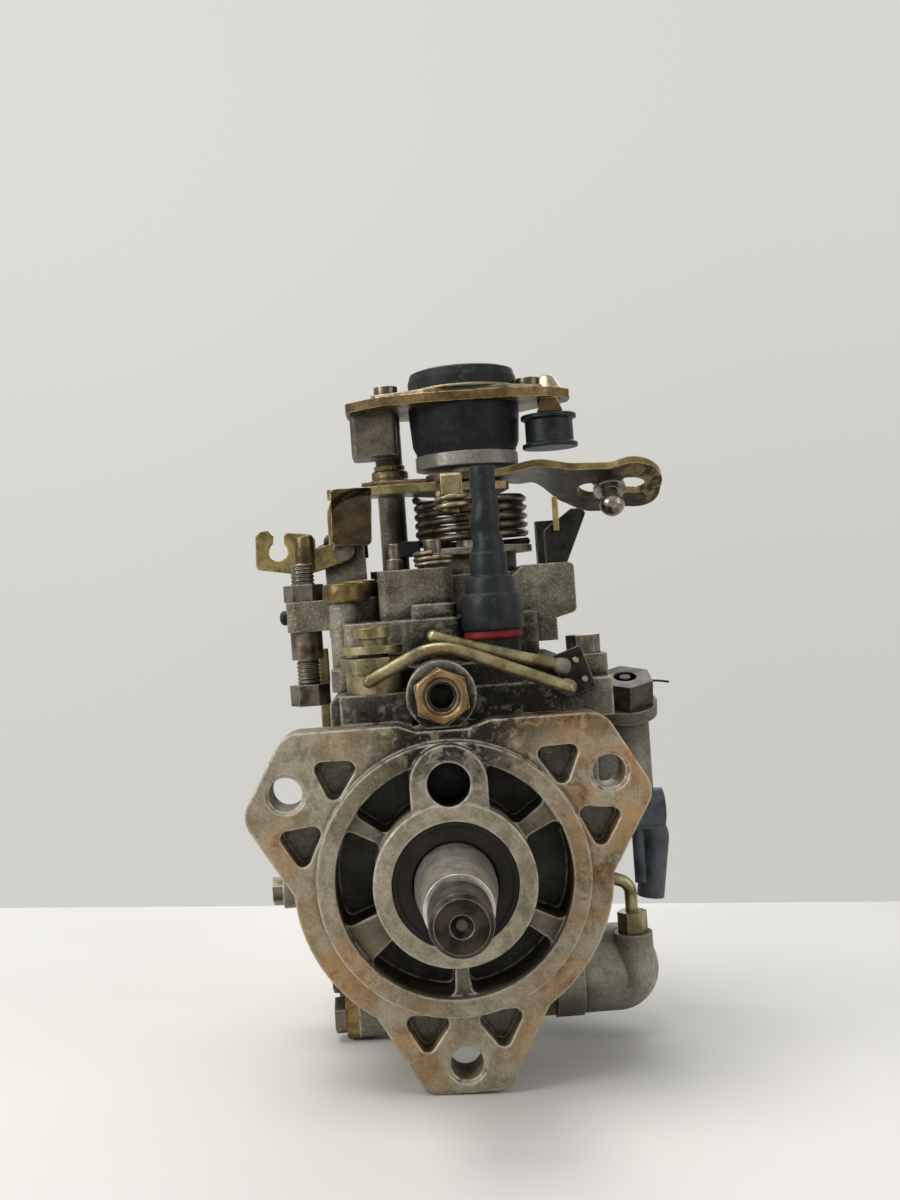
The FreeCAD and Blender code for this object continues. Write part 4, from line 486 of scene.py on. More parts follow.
PLATED = {
    "gold_plate": dict(),
    "stop_gold": dict(gold=(150, 140, 100), shade=(96, 88, 60), grime_and_shade=0.5, worn=0.9),
    "bracket_gold": dict(gold=(118, 96, 62), shade=(76, 62, 42), worn=1.0),
    "clamp_grey": dict(gold=(138, 130, 112), shade=(92, 84, 68), grime_and_shade=0.4, worn=0.8),
    "dark_gold": dict(gold=(134, 114, 72), shade=(84, 72, 46), grime_and_shade=0.6, worn=1.0),
    "worn_black": dict(gold=(54, 47, 34), shade=(32, 28, 20), grime_and_shade=0.5, worn=1.0, chips=LEVER_CHIPS),
    "hook_dark": dict(gold=(112, 98, 62), shade=(66, 56, 36), grime_and_shade=0.5, worn=0.4),
    "layer_brown": dict(gold=(122, 104, 78), shade=(82, 68, 48), grime_and_shade=0.6),
    "tab_brown": dict(gold=(82, 68, 44), shade=(48, 40, 27), grime_and_shade=0.6, worn=1.0),
    "pipe_gold": dict(gold=(156, 146, 110), shade=(104, 94, 64), grime_and_shade=0.8, worn=0.35),
    "union_brass": dict(gold=(106, 92, 64), shade=(62, 53, 36), grime_and_shade=0.9, worn=1.0),
    "copper_rim": dict(gold=(156, 126, 92), shade=(104, 80, 54), grime_and_shade=0.45, worn=0.9),
    "bolt_brass": dict(gold=(132, 110, 68), shade=(82, 68, 42), grime_and_shade=0.6),
}
STEELS = {
    "shaft_steel": dict(shine=(232, 227, 215), dull=(192, 186, 174), grime_and_shade=0.12, roughness=0.28,
                        rings=(0.02, 1, 0.02)),
    "thread_steel": dict(shine=(98, 96, 90), dull=(70, 66, 60), grime_and_shade=0.35, worn=0.08),
    "tip_steel": dict(shine=(66, 58, 50), dull=(38, 33, 28), grime_and_shade=0.6, roughness=0.4, worn=0.9),
    "screw_steel": dict(shine=(122, 114, 98), dull=(72, 64, 50), grime_and_shade=0.7),
    "spring_steel": dict(shine=(94, 84, 66), dull=(54, 47, 36), grime_and_shade=0.6),
    "coil_bright": dict(shine=(158, 148, 122), dull=(104, 94, 72), grime_and_shade=0.4),
    "dark_steel": dict(shine=(50, 49, 46), dull=(30, 28, 24), grime_and_shade=0.35, roughness=0.42, worn=0.4),
    "plug_steel": dict(shine=(82, 78, 70), dull=(54, 50, 44), roughness=0.42, worn=0.22),
    "ball_steel": dict(shine=(160, 154, 138), dull=(92, 84, 70), grime_and_shade=0.35, roughness=0.22),
}
RUBBERS = {
    "black_rubber": dict(body=(27, 31, 33), dust_and_sheen=(96, 108, 114), dust_and_sheen_amount=0.34, roughness=0.42,
                         gloss=0.22, rubs_and_sheen=0.7),
    "black_plastic": dict(body=(30, 34, 34), dust_and_sheen=(96, 100, 96), dust_and_sheen_amount=0.36, roughness=0.5, gloss=0.12),
    "cap_plastic": dict(body=(32, 36, 38), dust_and_sheen=(124, 122, 110), roughness=0.55, gloss=0.15, rubs_and_sheen=0.7),
    "seal_rubber": dict(body=(32, 28, 26), dust_and_sheen=(70, 62, 54), dust_and_sheen_amount=0.4, roughness=0.5, gloss=0.2),
    "red_seal": dict(body=(118, 30, 28), dust_and_sheen=(84, 56, 50)),
    "blue_plastic": dict(body=(82, 88, 94), dust_and_sheen=(124, 126, 122), dust_and_sheen_amount=0.6, roughness=0.5),
    "solder": dict(body=(118, 110, 92), dust_and_sheen=(84, 76, 60), dust_and_sheen_amount=0.6, roughness=0.5, gloss=0.5),
}
KINDS = [(cast_aluminium, CASTINGS), (yellow_zinc, PLATED), (steel, STEELS), (rubber, RUBBERS)]
MATERIALS = {name: paint(name, **settings) for paint, table in KINDS for name, settings in table.items()}

NODE_FINISH = {
    "flange_casting": ["pump_housing"],
    "cover_casting": ["governor_cover"],
    "smooth_casting": ["timer_cover_right"],
    "stand_casting": ["sensor_stand"],
    "head_casting": ["distributor_head", "governor_cage", "feed_pump_ring", "feed_pump_plate",
                     "side_valve_body"],
    "bright_alloy": ["sensor_ring"],
    "gold_plate": ["cold_start_lever", "timer_cover_left"],
    "stop_gold": ["throttle_stop_plate"],
    "bracket_gold": ["sensor_bracket"],
    "dark_gold": ["throttle_lever", "shutoff_solenoid"],
    "pipe_gold": ["fuel_pipes"],
    "union_brass": ["inlet_union"],
    "shaft_steel": ["drive_shaft", "throttle_shaft", "governor_shaft", "plunger", "cam_rollers",
                    "control_spool", "governor_sleeve", "shutoff_armature", "feed_pump_rotor",
                    "feed_pump_vanes", "timer_piston"],
    "screw_steel": ["housing_screws", "timer_screws", "sensor_screws", "adjusting_screws", "gallery_plugs",
                    "delivery_valves", "governor_lever", "spring_bridge", "cam_plate", "roller_ring",
                    "cross_coupling", "drive_gear", "shaft_key", "flyweight_1", "flyweight_2",
                    "flyweight_3", "flyweight_4"],
    "spring_steel": ["throttle_spring", "plunger_springs", "timer_spring"],
    "dark_steel": ["side_bracket", "pipe_clip"],
    "plug_steel": ["side_plug"],
    "ball_steel": ["ball_stud"],
    "black_rubber": ["connector_boot", "vibration_bobbin"],
    "black_plastic": ["sensor_body", "connector_body"],
    "cap_plastic": ["sensor_cap"],
    "seal_rubber": ["shaft_seal"],
    "blue_plastic": ["spill_connector"],
}


def dress_nodes():
    for finish, names in NODE_FINISH.items():
        for name in names:
            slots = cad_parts[name].data.materials
            slots.clear()
            slots.append(MATERIALS[finish])


def paint_part(name, finish, chosen):
    """Give another finish to the faces of a node whose middle passes a test, in millimetres."""
    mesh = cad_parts[name].data
    faces = [face for face in mesh.polygons if chosen(face.center / MM)]
    if faces:
        mesh.materials.append(MATERIALS[finish])
    for face in faces:
        face.material_index = len(mesh.materials) - 1


def paint_parts():
    """Bores and a folded tab painted darker as shade, and a thread and tip, that differ from the rest of their
    solid.
    """
    paint_part("sensor_bracket", "clamp_grey", lambda at: at.z > CLAMP_TOP)
    # Painted shade: the stop plate's folded tab, below its top and at its front left, takes a darker finish.
    paint_part("throttle_stop_plate", "tab_brown",
               lambda at: at.z < STOP_TAB_TOP or at.y < STOP_TAB_FRONT and at.x < STOP_TAB_SIDE)
    # Painted shade: the inlet's bore is painted dark steel.
    paint_part("inlet_union", "dark_steel",
               lambda at: math.hypot(at.x - INLET_AXIS[0], at.z - INLET_AXIS[1]) < INLET_BORE)
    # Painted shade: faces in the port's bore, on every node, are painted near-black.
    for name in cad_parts:
        paint_part(name, "dark_hole",
                   lambda at: math.hypot(at.x - PORT_AXIS[0], at.z - PORT_AXIS[1]) < PORT_BORE
                   and PORT_FRONT < at.y < PORT_BACK)
    # Painted shade in the side plug's socket.
    paint_part("side_plug", "dark_hole",
               lambda at: math.hypot(at.x - SIDE_PLUG_AXIS[0], at.y - SIDE_PLUG_AXIS[1]) < PLUG_SOCKET)
    paint_part("drive_shaft", "thread_steel", lambda at: SHAFT_TIP < at.y < THREAD_END)
    paint_part("drive_shaft", "tip_steel", lambda at: at.y < SHAFT_TIP)


# Pieces

def bond(piece, finish, body, smooth=True):
    """Put a piece in the scene with its finish, on its body."""
    bpy.context.scene.collection.objects.link(piece)
    piece.data.materials.append(MATERIALS[finish])
    if smooth and piece.type == "MESH":
        piece.data.shade_smooth()
    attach(piece, body)
    return piece


def mesh_piece(name, points, faces, finish, body, smooth=True, round_edges=0.0):
    mesh = bpy.data.meshes.new(name)
    mesh.from_pydata([Vector(point) * MM for point in points], [], faces)
    mesh.update()
    piece = bpy.data.objects.new(name, mesh)
    bond(piece, finish, body, smooth)
    if round_edges:
        bevel = piece.modifiers.new("edges", "BEVEL")
        bevel.width = round_edges * MM
        bevel.segments = 2
        bevel.limit_method = "ANGLE"
    return piece


def frame_of(axis):
    """Two directions across an axis, and the axis itself, as unit vectors."""
    ahead = Vector(axis).normalized()
    across = ahead.cross((0, 0, 1)) if abs(ahead.z) < 0.9 else ahead.cross((0, 1, 0))
    across.normalize()
    return across, ahead.cross(across), ahead


def ring_faces(rows, sides, closed):
    """Faces between neighbouring rows of points, and from the last row to the first when closed."""
    faces = []
    for row in range(rows if closed else rows - 1):
        low, high = row * sides, (row + 1) % rows * sides
        for step in range(sides):
            after = (step + 1) % sides
            faces.append((low + step, low + after, high + after, high + step))
    return faces


def lathe(name, at, axis, profile, finish, body="pump", sides=40, flutes=0, flute=0.0,
          ring=False):
    """A turned piece from (radius, distance along the axis) pairs, with shallow flutes where asked. A ring's
    pairs go all round its section."""
    across, beside, ahead = frame_of(axis)
    points = []
    for radius, along in profile:
        for step in range(sides):
            angle = 2 * math.pi * step / sides
            reach = radius + (flute * math.cos(angle * flutes) if flutes and radius > 1 else 0)
            out = across * reach * math.cos(angle) + beside * reach * math.sin(angle)
            points.append(Vector(at) + ahead * along + out)
    faces = ring_faces(len(profile), sides, ring)
    if not ring:
        faces.append(tuple(reversed(range(sides))))
        faces.append(tuple(range((len(profile) - 1) * sides, len(profile) * sides)))
    return sharpen(mesh_piece(name, points, faces, finish, body))


def sharpen(piece, angle=32):
    """Smooth shading that stays sharp across steep edges."""
    mesh = piece.data
    limit = math.radians(angle)
    normals = {}
    for face in mesh.polygons:
        for key in face.edge_keys:
            normals.setdefault(key, []).append(face.normal)
    for edge in mesh.edges:
        pair = normals.get(tuple(sorted(edge.vertices)), [])
        edge.use_edge_sharp = len(pair) == 2 and pair[0].angle(pair[1], 0) > limit
    return piece


def tidy_mesh(piece):
    """Join points that fall together and turn all faces outwards."""
    work = bmesh.new()
    work.from_mesh(piece.data)
    bmesh.ops.remove_doubles(work, verts=work.verts, dist=0.01 * MM)
    bmesh.ops.recalc_face_normals(work, faces=work.faces)
    work.to_mesh(piece.data)
    work.free()


def slab(name, outline, origin, right, up, depth, finish, body="pump", round_edges=0.4):
    """A flat plate with that outline along the directions right and up, depth thick towards right x up."""
    right, up = Vector(right).normalized(), Vector(up).normalized()
    back = right.cross(up) * depth
    near = [Vector(origin) + right * x + up * y for x, y in outline]
    count = len(near)
    faces = [tuple(reversed(range(count))), tuple(range(count, 2 * count))]
    faces += [(step, (step + 1) % count, (step + 1) % count + count, step + count) for step in range(count)]
    points = near + [point + back for point in near]
    return mesh_piece(name, points, faces, finish, body, False, round_edges)


def wire(name, points, radius, finish, body="pump", order=4):
    """A round wire along a smooth curve."""
    curve = bpy.data.curves.new(name, "CURVE")
    curve.dimensions = "3D"
    curve.bevel_depth = radius * MM
    curve.bevel_resolution = 4
    curve.resolution_u = 6
    curve.use_fill_caps = True
    line = curve.splines.new("NURBS")
    line.points.add(len(points) - 1)
    for spot, point in zip(line.points, points):
        spot.co = (*(Vector(point) * MM), 1)
    line.order_u = order
    line.use_endpoint_u = True
    return bond(bpy.data.objects.new(name, curve), finish, body)


def coil_points(at, radius, turns, rise, start=0.0, steps=16):
    """Points of a helix round Z, a little wider than asked because the smooth curve cuts inside them."""
    wide = radius / 0.975
    count = round(turns * steps)
    angles = [start + step * 2 * math.pi / steps for step in range(count + 1)]
    return [(at[0] + wide * math.cos(angle), at[1] + wide * math.sin(angle), at[2] + rise * step / count)
            for step, angle in enumerate(angles)]


def thread(name, at, axis, radius, depth, pitch, turns, finish, body="pump"):
    """Thread ridges laid round a plain stem."""
    profile = [(radius, 0)]
    for turn in range(turns):
        profile += [(radius + depth, (turn + 0.4) * pitch), (radius + depth, (turn + 0.6) * pitch),
                    (radius, (turn + 1) * pitch)]
    return lathe(name, at, axis, profile, finish, body, sides=48)


def shaft_details():
    """The seal's plain face, and the thread on the shaft's tip."""
    section = [(10.15, 6), (10.15, 2.2), (10.7, 1.3), (11.4, 1.0), (13.9, 0.9), (14.4, 0.4), (15.3, 0.3),
               (15.45, 0.7), (15.45, 6)]
    face = lathe("seal_face", (0, -10, 0), TO_BACK, section, "seal_rubber",
                 sides=72, ring=True)
    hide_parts("shaft_seal")
    thread("tip_thread", (0, -46.2, 0), TO_BACK, 6.92, 0.3, 1.5, 7, "thread_steel", "drive_train")


def sensor_details():
    """The sensor's tapered can, its clamp's bright lip, and the cone on the bobbin's stud."""
    can = [(4, 0.3), (15.2, 0), (15.3, 1.4), (15.7, 2.0), (16.3, 3.6), (16.9, 12.6), (16.9, 14.4), (4, 14.5)]
    shell = lathe("sensor_can", (*THROTTLE_AXIS, 112.5), UPWARD, can, "black_plastic",
                  sides=96)
    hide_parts("sensor_body")
    lip = [(16.4, 0), (17.5, 0), (17.8, 0.4), (17.5, 0.9), (16.4, 0.9)]
    lathe("clamp_lip", (*THROTTLE_AXIS, 131.2), UPWARD, lip, "clamp_grey",
          sides=96, ring=True)
    stud = [(4.8, 0), (4.9, 0.6), (4.2, 1.3), (2.6, 4.2), (1.8, 4.8), (0.8, 5.0)]
    lathe("bobbin_cone", (*BOBBIN_AXIS, 129.7), UPWARD, stud, "coil_bright", sides=32)


BOOT_FOOT = 60
BOOT_SLEEVE = (82, 104)


def boot_details():
    """The rubber boot with its steps, waist and wrinkles, and the red seal under it."""
    steps = [(3.0, 104.2), (3.5, 104.3), (3.45, 98), (3.5, 95.2), (3.75, 93), (4.1, 90), (4.15, 88.4),
             (3.85, 87.2), (3.8, 86.2), (4.1, 85), (4.05, 84), (4.35, 82.6), (4.45, 81), (5.0, 80.7),
             (5.15, 80.1), (5.1, 74.7), (6.4, 74.2), (6.7, 73.4), (6.8, 70), (7.8, 69.5), (8.1, 68.8),
             (8.4, 66.4), (8.6, 61.2), (8.4, 60.1), (4, 60.1)]
    profile = [(radius, height - BOOT_FOOT) for radius, height in reversed(steps)]
    boot = lathe("boot_shell", (*BOOT_AXIS, BOOT_FOOT), UPWARD, profile, "black_rubber",
                 sides=64)
    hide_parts("connector_boot")
    for point in boot.data.vertices:
        height = point.co.z / MM
        if BOOT_SLEEVE[0] < height < BOOT_SLEEVE[1]:
            point.co.x += 0.35 * MM * math.sin(height * 0.55)
            point.co.y += 0.25 * MM * math.sin(height * 0.8 + 1)
    collar = [(4, 57.5), (7.6, 57.6), (8.0, 58.2), (7.9, 59.4), (7.5, 60.1), (4, 60.1)]
    lathe("boot_seal", (*BOOT_AXIS, 0), UPWARD, collar, "red_seal", sides=64)


def throttle_details():
    """The throttle's large spring, and the coil, tab, second layer and lip that turn with its stop plate."""
    large = coil_points((*THROTTLE_AXIS, 85.2), 16.2, 5.5, 14.6)
    spring = wire("return_spring_wire", large, 1.15, "spring_steel")
    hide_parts("throttle_spring")
    small = coil_points((7.6, 49.6, 94.6), 4.3, 2.25, 5.2, start=math.radians(60))
    wire("tab_coil", small, 0.8, "coil_bright", "throttle")
    bent = [(0, 0), (12.6, 0), (13.6, -0.8), (13.8, -6.4), (12.4, -6.4), (12.3, -1.9), (11.7, -1.4),
            (0, -1.4)]
    slab("coil_tab", bent, (10.8, 59.0, 105.2), TO_FRONT, UPWARD, 6.2, "pipe_gold", "throttle",
         0.25)
    upper = [(-18.5, 60.5), (-17.5, 67.5), (-6, 69), (1.2, 69), (1.2, 60), (-6, 58.8)]
    slab("stop_plate_upper", upper, (0, 0, 103.5), TO_RIGHT, TO_BACK, 1.8, "layer_brown", "throttle")
    lip = [(-28.9, 87), (-28.9, 97), (-27.6, 100.2), (-24.6, 102.4), (-20, 103.4), (-12, 103.7), (3.8, 103.7),
           (3.8, 101.1), (-12, 101.0), (-19.6, 100.6), (-23.4, 99.8), (-26.2, 98.2), (-27.5, 96), (-28, 87)]
    slab("stop_plate_lip", lip, (0, 55.5, 0), TO_RIGHT, UPWARD, -0.9, "stop_gold", "throttle",
         0.25)
    rings = [(4.25, 104.8), (6.2, 104.9), (6.5, 105.4), (6.5, 106.9), (6.2, 107.3), (5.3, 107.5),
             (5.6, 107.9), (5.6, 109.6), (5.3, 110.0), (4.6, 110.2), (4.7, 111.6), (4.25, 111.8)]
    lathe("stand_rings", (*STAND_AXIS, 0), UPWARD, rings, "layer_brown", flutes=18, flute=0.12)


# The throttle lever from its hub to its end, as values at some x: the height and Y of its front edge, its
# width, and how many degrees it tilts its back down
LEVER_FRONT_HEIGHT = [(1, 105.5), (22, 105.7), (34, 107.6), (46, 105.7), (55, 105.4), (62, 106.7),
                      (72.4, 105.6)]
LEVER_FRONT_Y = [(1, 60), (30, 60), (46, 58.4), (72.4, 58.4)]
LEVER_WIDTH = [(1, 24), (24, 24), (36, 19), (48, 23.6), (72.4, 23.6)]
LEVER_TILT = [(1, 0), (24, 1), (33, 8), (43, 21), (52, 28), (72.4, 30)]
LEVER_START, LEVER_END, LEVER_ROUND = 1.0, 72.3, 9.0
LEVER_HALF_THICK = 1.15
LEVER_STATIONS = 110
SLOT_START, SLOT_END, SLOT_HALF = 47.0, 68.0, 4.0


def along_table(table, x):
    """A smooth value at x from (x, value) pairs."""
    if x <= table[0][0]:
        return table[0][1]
    for (near, first), (far, second) in zip(table, table[1:]):
        if x <= far:
            share = (x - near) / (far - near)
            share = share * share * (3 - 2 * share)
            return first + (second - first) * share
    return table[-1][1]


def rounded_inset(x, start, end, radius):
    """How far an outline with rounded ends draws in at x."""
    reach = max(start + radius - x, x - end + radius, 0)
    return radius - math.sqrt(max(radius ** 2 - min(reach, radius) ** 2, 0))


def slot_half(x):
    """Half the width of the lever's slot at x, 0 where it is closed."""
    return SLOT_HALF - rounded_inset(x, SLOT_START, SLOT_END, SLOT_HALF) if SLOT_START < x < SLOT_END else 0


def lever_station(x, half_thick):
    """Four points across the lever at x, on its upper or lower side: front, slot front, slot back, back."""
    tilt = math.radians(along_table(LEVER_TILT, x))
    inset = rounded_inset(x, LEVER_START, LEVER_END, LEVER_ROUND)
    width = along_table(LEVER_WIDTH, x)
    front, height = along_table(LEVER_FRONT_Y, x), along_table(LEVER_FRONT_HEIGHT, x)
    places = (inset, width / 2 - slot_half(x), width / 2 + slot_half(x), width - inset)
    return [Vector((x, front + place * math.cos(tilt) + half_thick * math.sin(tilt),
                    height - place * math.sin(tilt) + half_thick * math.cos(tilt))) for place in places]


def lever_places():
    """The x of the lever's stations, closer at its ends and at the slot's."""
    length = LEVER_END - LEVER_START
    even = [LEVER_START + length * (0.5 - 0.5 * math.cos(math.pi * step / LEVER_STATIONS))
            for step in range(LEVER_STATIONS + 1)]
    return sorted(set(even + [SLOT_START, SLOT_END, SLOT_START + 0.3, SLOT_END - 0.3]))


def lever_piece():
    """The throttle lever's pressed plate: a flat hub, a wave in its neck, and a tilted end with a slot."""
    places = lever_places()
    points, faces = [], []
    for x in places:
        points += lever_station(x, LEVER_HALF_THICK) + lever_station(x, -LEVER_HALF_THICK)
    for step in range(len(places) - 1):
        a, b = step * 8, step * 8 + 8
        faces += [(a, a + 1, b + 1, b), (a + 2, a + 3, b + 3, b + 2)]
        faces += [(a + 4, b + 4, b + 5, a + 5), (a + 6, b + 6, b + 7, a + 7)]
        faces += [(a, b, b + 4, a + 4), (a + 3, a + 7, b + 7, b + 3)]
        if slot_half(places[step]) or slot_half(places[step + 1]):
            faces += [(a + 1, a + 5, b + 5, b + 1), (a + 2, b + 2, b + 6, a + 6)]
    last = (len(places) - 1) * 8
    faces += [tuple(reversed(end)) for end in [(0, 1, 5, 4), (2, 3, 7, 6)]]
    faces += [(last, last + 1, last + 5, last + 4), (last + 2, last + 3, last + 7, last + 6)]
    piece = mesh_piece("lever_plate", points, faces, "dark_gold", "throttle", round_edges=0.5)
    tidy_mesh(piece)
    sharpen(piece, 40)
    piece.data.materials.append(MATERIALS["worn_black"])
    # Painted shade: faces that face downwards take a darker finish, with chips of bare gold as wear.
    for face in piece.data.polygons:
        face.material_index = 1 if face.normal.z < -0.3 else 0
    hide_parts("throttle_lever")


HOOK_FRONT = 62.9
NOTCH_RADIUS = 2.85


def hook_piece():
    """The cold start lever: a hooked plate with a keyhole notch, a rolled edge, and its arm to the pivot."""
    notch = [(NOTCH_RADIUS * math.cos(math.radians(angle)), NOTCH_RADIUS * math.sin(math.radians(angle)))
             for angle in range(122, 419, 11)]
    outline = [(-6.4, 4.8), (-4.8, 6.2), (-2.6, 6.4), (-1.2, 4.8)] + notch
    outline += [(2.0, 4.6), (2.9, 5.4), (10.0, 4.5), (11.0, 3.1), (11.0, 0.2), (19.2, 1.9), (22.2, 0.4),
                (22.3, -3.0), (19.4, -4.6), (10.6, -6.9), (3.2, -6.8), (-6.3, -5.1), (-6.75, -3.6)]
    plate = slab("hook_plate", outline, (HOOK_NOTCH[0], HOOK_FRONT, HOOK_NOTCH[1]), TO_RIGHT, UPWARD, 2.8,
                 "gold_plate", "cold_lever", 0.3)
    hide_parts("cold_start_lever")
    roll = [(2.2, 0), (2.9, 0.3), (3.1, 0.9), (3.1, 9.9), (2.8, 10.6), (2.0, 10.9)]
    lathe("hook_roll", (-36.6, 61.4, 79.9), UPWARD, roll, "hook_dark", "cold_lever", 32)
    pin = [(3.0, -3.2), (3.3, -2.9), (3.3, 5.0), (3.0, 5.2)]
    lathe("hook_pivot", (COLD_PIVOT[0], HOOK_FRONT, COLD_PIVOT[1]), TO_BACK, pin, "screw_steel", "cold_lever",
          sides=32)


def bolt_details():
    """The tower's coil and the fluted heads of two bolts."""
    nut_coil = coil_points((*TOWER_SCREW, 79.2), 5.1, 2.2, 3.2, start=math.radians(200))
    wire("tower_coil", nut_coil, 0.65, "coil_bright")
    head = [(4.6, 0), (5.4, 0.2), (5.6, 0.8), (5.6, 4.0), (5.2, 4.8), (4.4, 5.1), (1.5, 5.2)]
    lathe("tie_bolt_head", (*TIE_BOLT, 71.2), UPWARD, head, "bolt_brass", flutes=24, flute=0.06)
    column = [(5.0, 0), (5.7, 0.3), (5.9, 0.9), (5.9, 4.4), (5.5, 5.2), (4.8, 5.5), (1.5, 5.6)]
    lathe("column_head", (*COLUMN_BOLT, 70.0), UPWARD, column, "bolt_brass", flutes=24,
          flute=0.06)


def cover_details():
    """Small rubber pieces on the cover, the strip on its gusset, and the adjusting screw's threads."""
    plug = [(1.9, 0), (2.1, 0.5), (2.1, 1.6), (1.6, 2.3), (0.8, 2.6)]
    lathe("ear_plug", (-41.6, 51.5, 66.8), TO_LEFT, plug, "black_rubber", sides=24)
    barbs = [(2.3, 0), (2.3, 8.2), (3.7, 8.6), (2.7, 11.0), (2.4, 11.2), (3.5, 11.6), (2.2, 15.2),
             (1.4, 15.6)]
    lathe("vent_nipple", (-18.2, 72, 85.6), TO_LEFT, barbs, "black_rubber", sides=28)
    block = [(0, 0), (6.2, 0.3), (6.2, 4.6), (0.4, 4.9)]
    slab("gasket_block", block, (-8.4, 63.0, 82.4), TO_RIGHT, UPWARD, -8.0, "black_rubber")
    strip = [(0, 0), (1.8, 0.1), (1.7, 10.4), (0.1, 10.2)]
    slab("gusset_strip", strip, (37.6, 60.0, 87.0), TO_RIGHT, UPWARD, 1.4, "gold_plate",
         round_edges=0.3)
    for name, foot in (("adjuster_thread_top", 75.7), ("adjuster_thread_low", 47.4)):
        thread(name, (*ADJUSTER, foot), UPWARD, 3.0, 0.42, 1.08, 6, "screw_steel")


# Where the two front pipes end in the clip, and how they run there
PIPE_ENDS = {"upper_solder": ((31.4, 11, 49.9), (23.8, -1.0, -6.8)),
             "lower_solder": ((32.2, 8.6, 44.6), (32.7, 0, -13.4))}
CLIP_STUDS = [(35.6, 51.0), (37.6, 45.9)]
CLIP_FRONT = 13.1


def pipe_details():
    """The inlet's rim, solder where the pipes end, and the studs of their clip."""
    hex_rim("inlet_rim", (INLET_AXIS[0], 1.0, INLET_AXIS[1]))
    blob = [(1.5, 0), (1.95, 0.5), (2.15, 1.6), (2.1, 2.8), (1.6, 3.7), (0.7, 4.1)]
    for name, (end, run) in PIPE_ENDS.items():
        slope = Vector(run).normalized()
        lathe(name, Vector(end) - slope * 1.5, slope, blob, "solder", sides=28)
    stud = [(0.95, 0), (0.95, 0.4), (0.7, 0.85), (0.3, 1.0)]
    for number, (x, z) in enumerate(CLIP_STUDS, start=1):
        lathe(f"clip_stud_{number}", (x, CLIP_FRONT, z), TO_FRONT, stud, "coil_bright", sides=20)


RIM_FLAT, RIM_CORNER = 6.35, 7.05
RIM_STEPS = 36
RIM_OUTSIDE = [(-0.02, 1.0), (-0.35, 0.985), (-0.6, 0.94)]
RIM_INSIDE = [(-0.6, 5.2), (-0.3, 4.8), (-0.02, 4.6)]


def hex_rim(name, at):
    """A thin hexagonal ring round the inlet's mouth, bevelled on its corners, facing the front. Its outside
    is given as (depth, share of the hexagon) and its inside as (depth, radius)."""
    turns = [2 * math.pi * step / RIM_STEPS for step in range(RIM_STEPS)]
    sixth = math.pi / 3
    hexagon = [min(RIM_FLAT / math.cos((turn + sixth / 2) % sixth - sixth / 2), RIM_CORNER) for turn in turns]
    rows = [(depth, [reach * share for reach in hexagon]) for depth, share in RIM_OUTSIDE]
    rows += [(depth, [radius] * RIM_STEPS) for depth, radius in RIM_INSIDE]
    points = [Vector(at) + Vector((reach * math.cos(turn), depth, reach * math.sin(turn)))
              for depth, reaches in rows for reach, turn in zip(reaches, turns)]
    faces = ring_faces(len(rows), RIM_STEPS, closed=True)
    return sharpen(mesh_piece(name, points, faces, "copper_rim", "pump"), 25)


def side_details():
    """The short end of lock wire at the side plug, and the strip on the left."""
    bent = [(64.2, 74, 39.3), (66.2, 74, 39.5), (68.4, 74, 39.3), (70.4, 74, 39.0), (71.9, 73.8, 38.7)]
    wire("seal_wire", bent, 0.35, "dark_steel", order=3)
    strip = [(0, 0), (3.4, 0), (2.6, 12), (3.4, 24), (3.4, 33), (0.4, 33), (0.1, 16)]
    slab("left_strip", strip, (-35.2, 62.0, 24.0), TO_RIGHT, UPWARD, -1.6, "gold_plate")


# Stage, lights and camera

def stage():
    """A pale table. The pump leans on it, and it falls away from the camera a little."""
    corners = [(-TABLE_SIDE, TABLE_FRONT), (TABLE_SIDE, TABLE_FRONT), (TABLE_SIDE, TABLE_BACK),
               (-TABLE_SIDE, TABLE_BACK)]
    mesh = bpy.data.meshes.new("table_top")
    points = [(x, y, TABLE_HEIGHT + TABLE_SLOPE_X * x + TABLE_SLOPE_Y * y) for x, y in corners]
    mesh.from_pydata([Vector(point) * MM for point in points], [], [(0, 1, 2, 3)])
    table = bpy.data.objects.new("table_top", mesh)
    bpy.context.scene.collection.objects.link(table)
    table.data.materials.append(plain_stage("table_paint", TABLE_COLOUR))


LAMP_COLOUR, LAMP_STRENGTH = (0.95, 0.98, 1.0, 1), 0.34
WALL_PALE, WALL_DUSKY = (222, 221, 216), (200, 199, 193)
# How painted shade darkens the wall to the right and downwards: part of the direction, start, end and share
WALL_FADES = [("X", -0.3, 0.3, 0.32), ("Z", 0.38, -0.14, 0.55)]


def wall_paint(tree):
    """A pale wall, with painted shade a little darker to the right and low down."""
    aim = tree.nodes.new("ShaderNodeTexCoord")
    parts = tree.nodes.new("ShaderNodeSeparateXYZ")
    tree.links.new(aim.outputs["Generated"], parts.inputs[0])
    dusk = tree.nodes.new("ShaderNodeMath")
    dusk.operation = "ADD"
    for number, (axis, low, high, share) in enumerate(WALL_FADES):
        fade = tree.nodes.new("ShaderNodeMapRange")
        fade.interpolation_type = "SMOOTHSTEP"
        fade.inputs["From Min"].default_value = low
        fade.inputs["From Max"].default_value = high
        fade.inputs["To Max"].default_value = share
        tree.links.new(parts.outputs[axis], fade.inputs["Value"])
        tree.links.new(fade.outputs[0], dusk.inputs[number])
    shade = tree.nodes.new("ShaderNodeMix")
    shade.data_type = "RGBA"
    shade.inputs["A"].default_value = tone(*WALL_PALE)
    shade.inputs["B"].default_value = tone(*WALL_DUSKY)
    tree.links.new(dusk.outputs[0], shade.inputs["Factor"])
    wall = tree.nodes.new("ShaderNodeBackground")
    tree.links.new(shade.outputs["Result"], wall.inputs["Color"])
    return wall


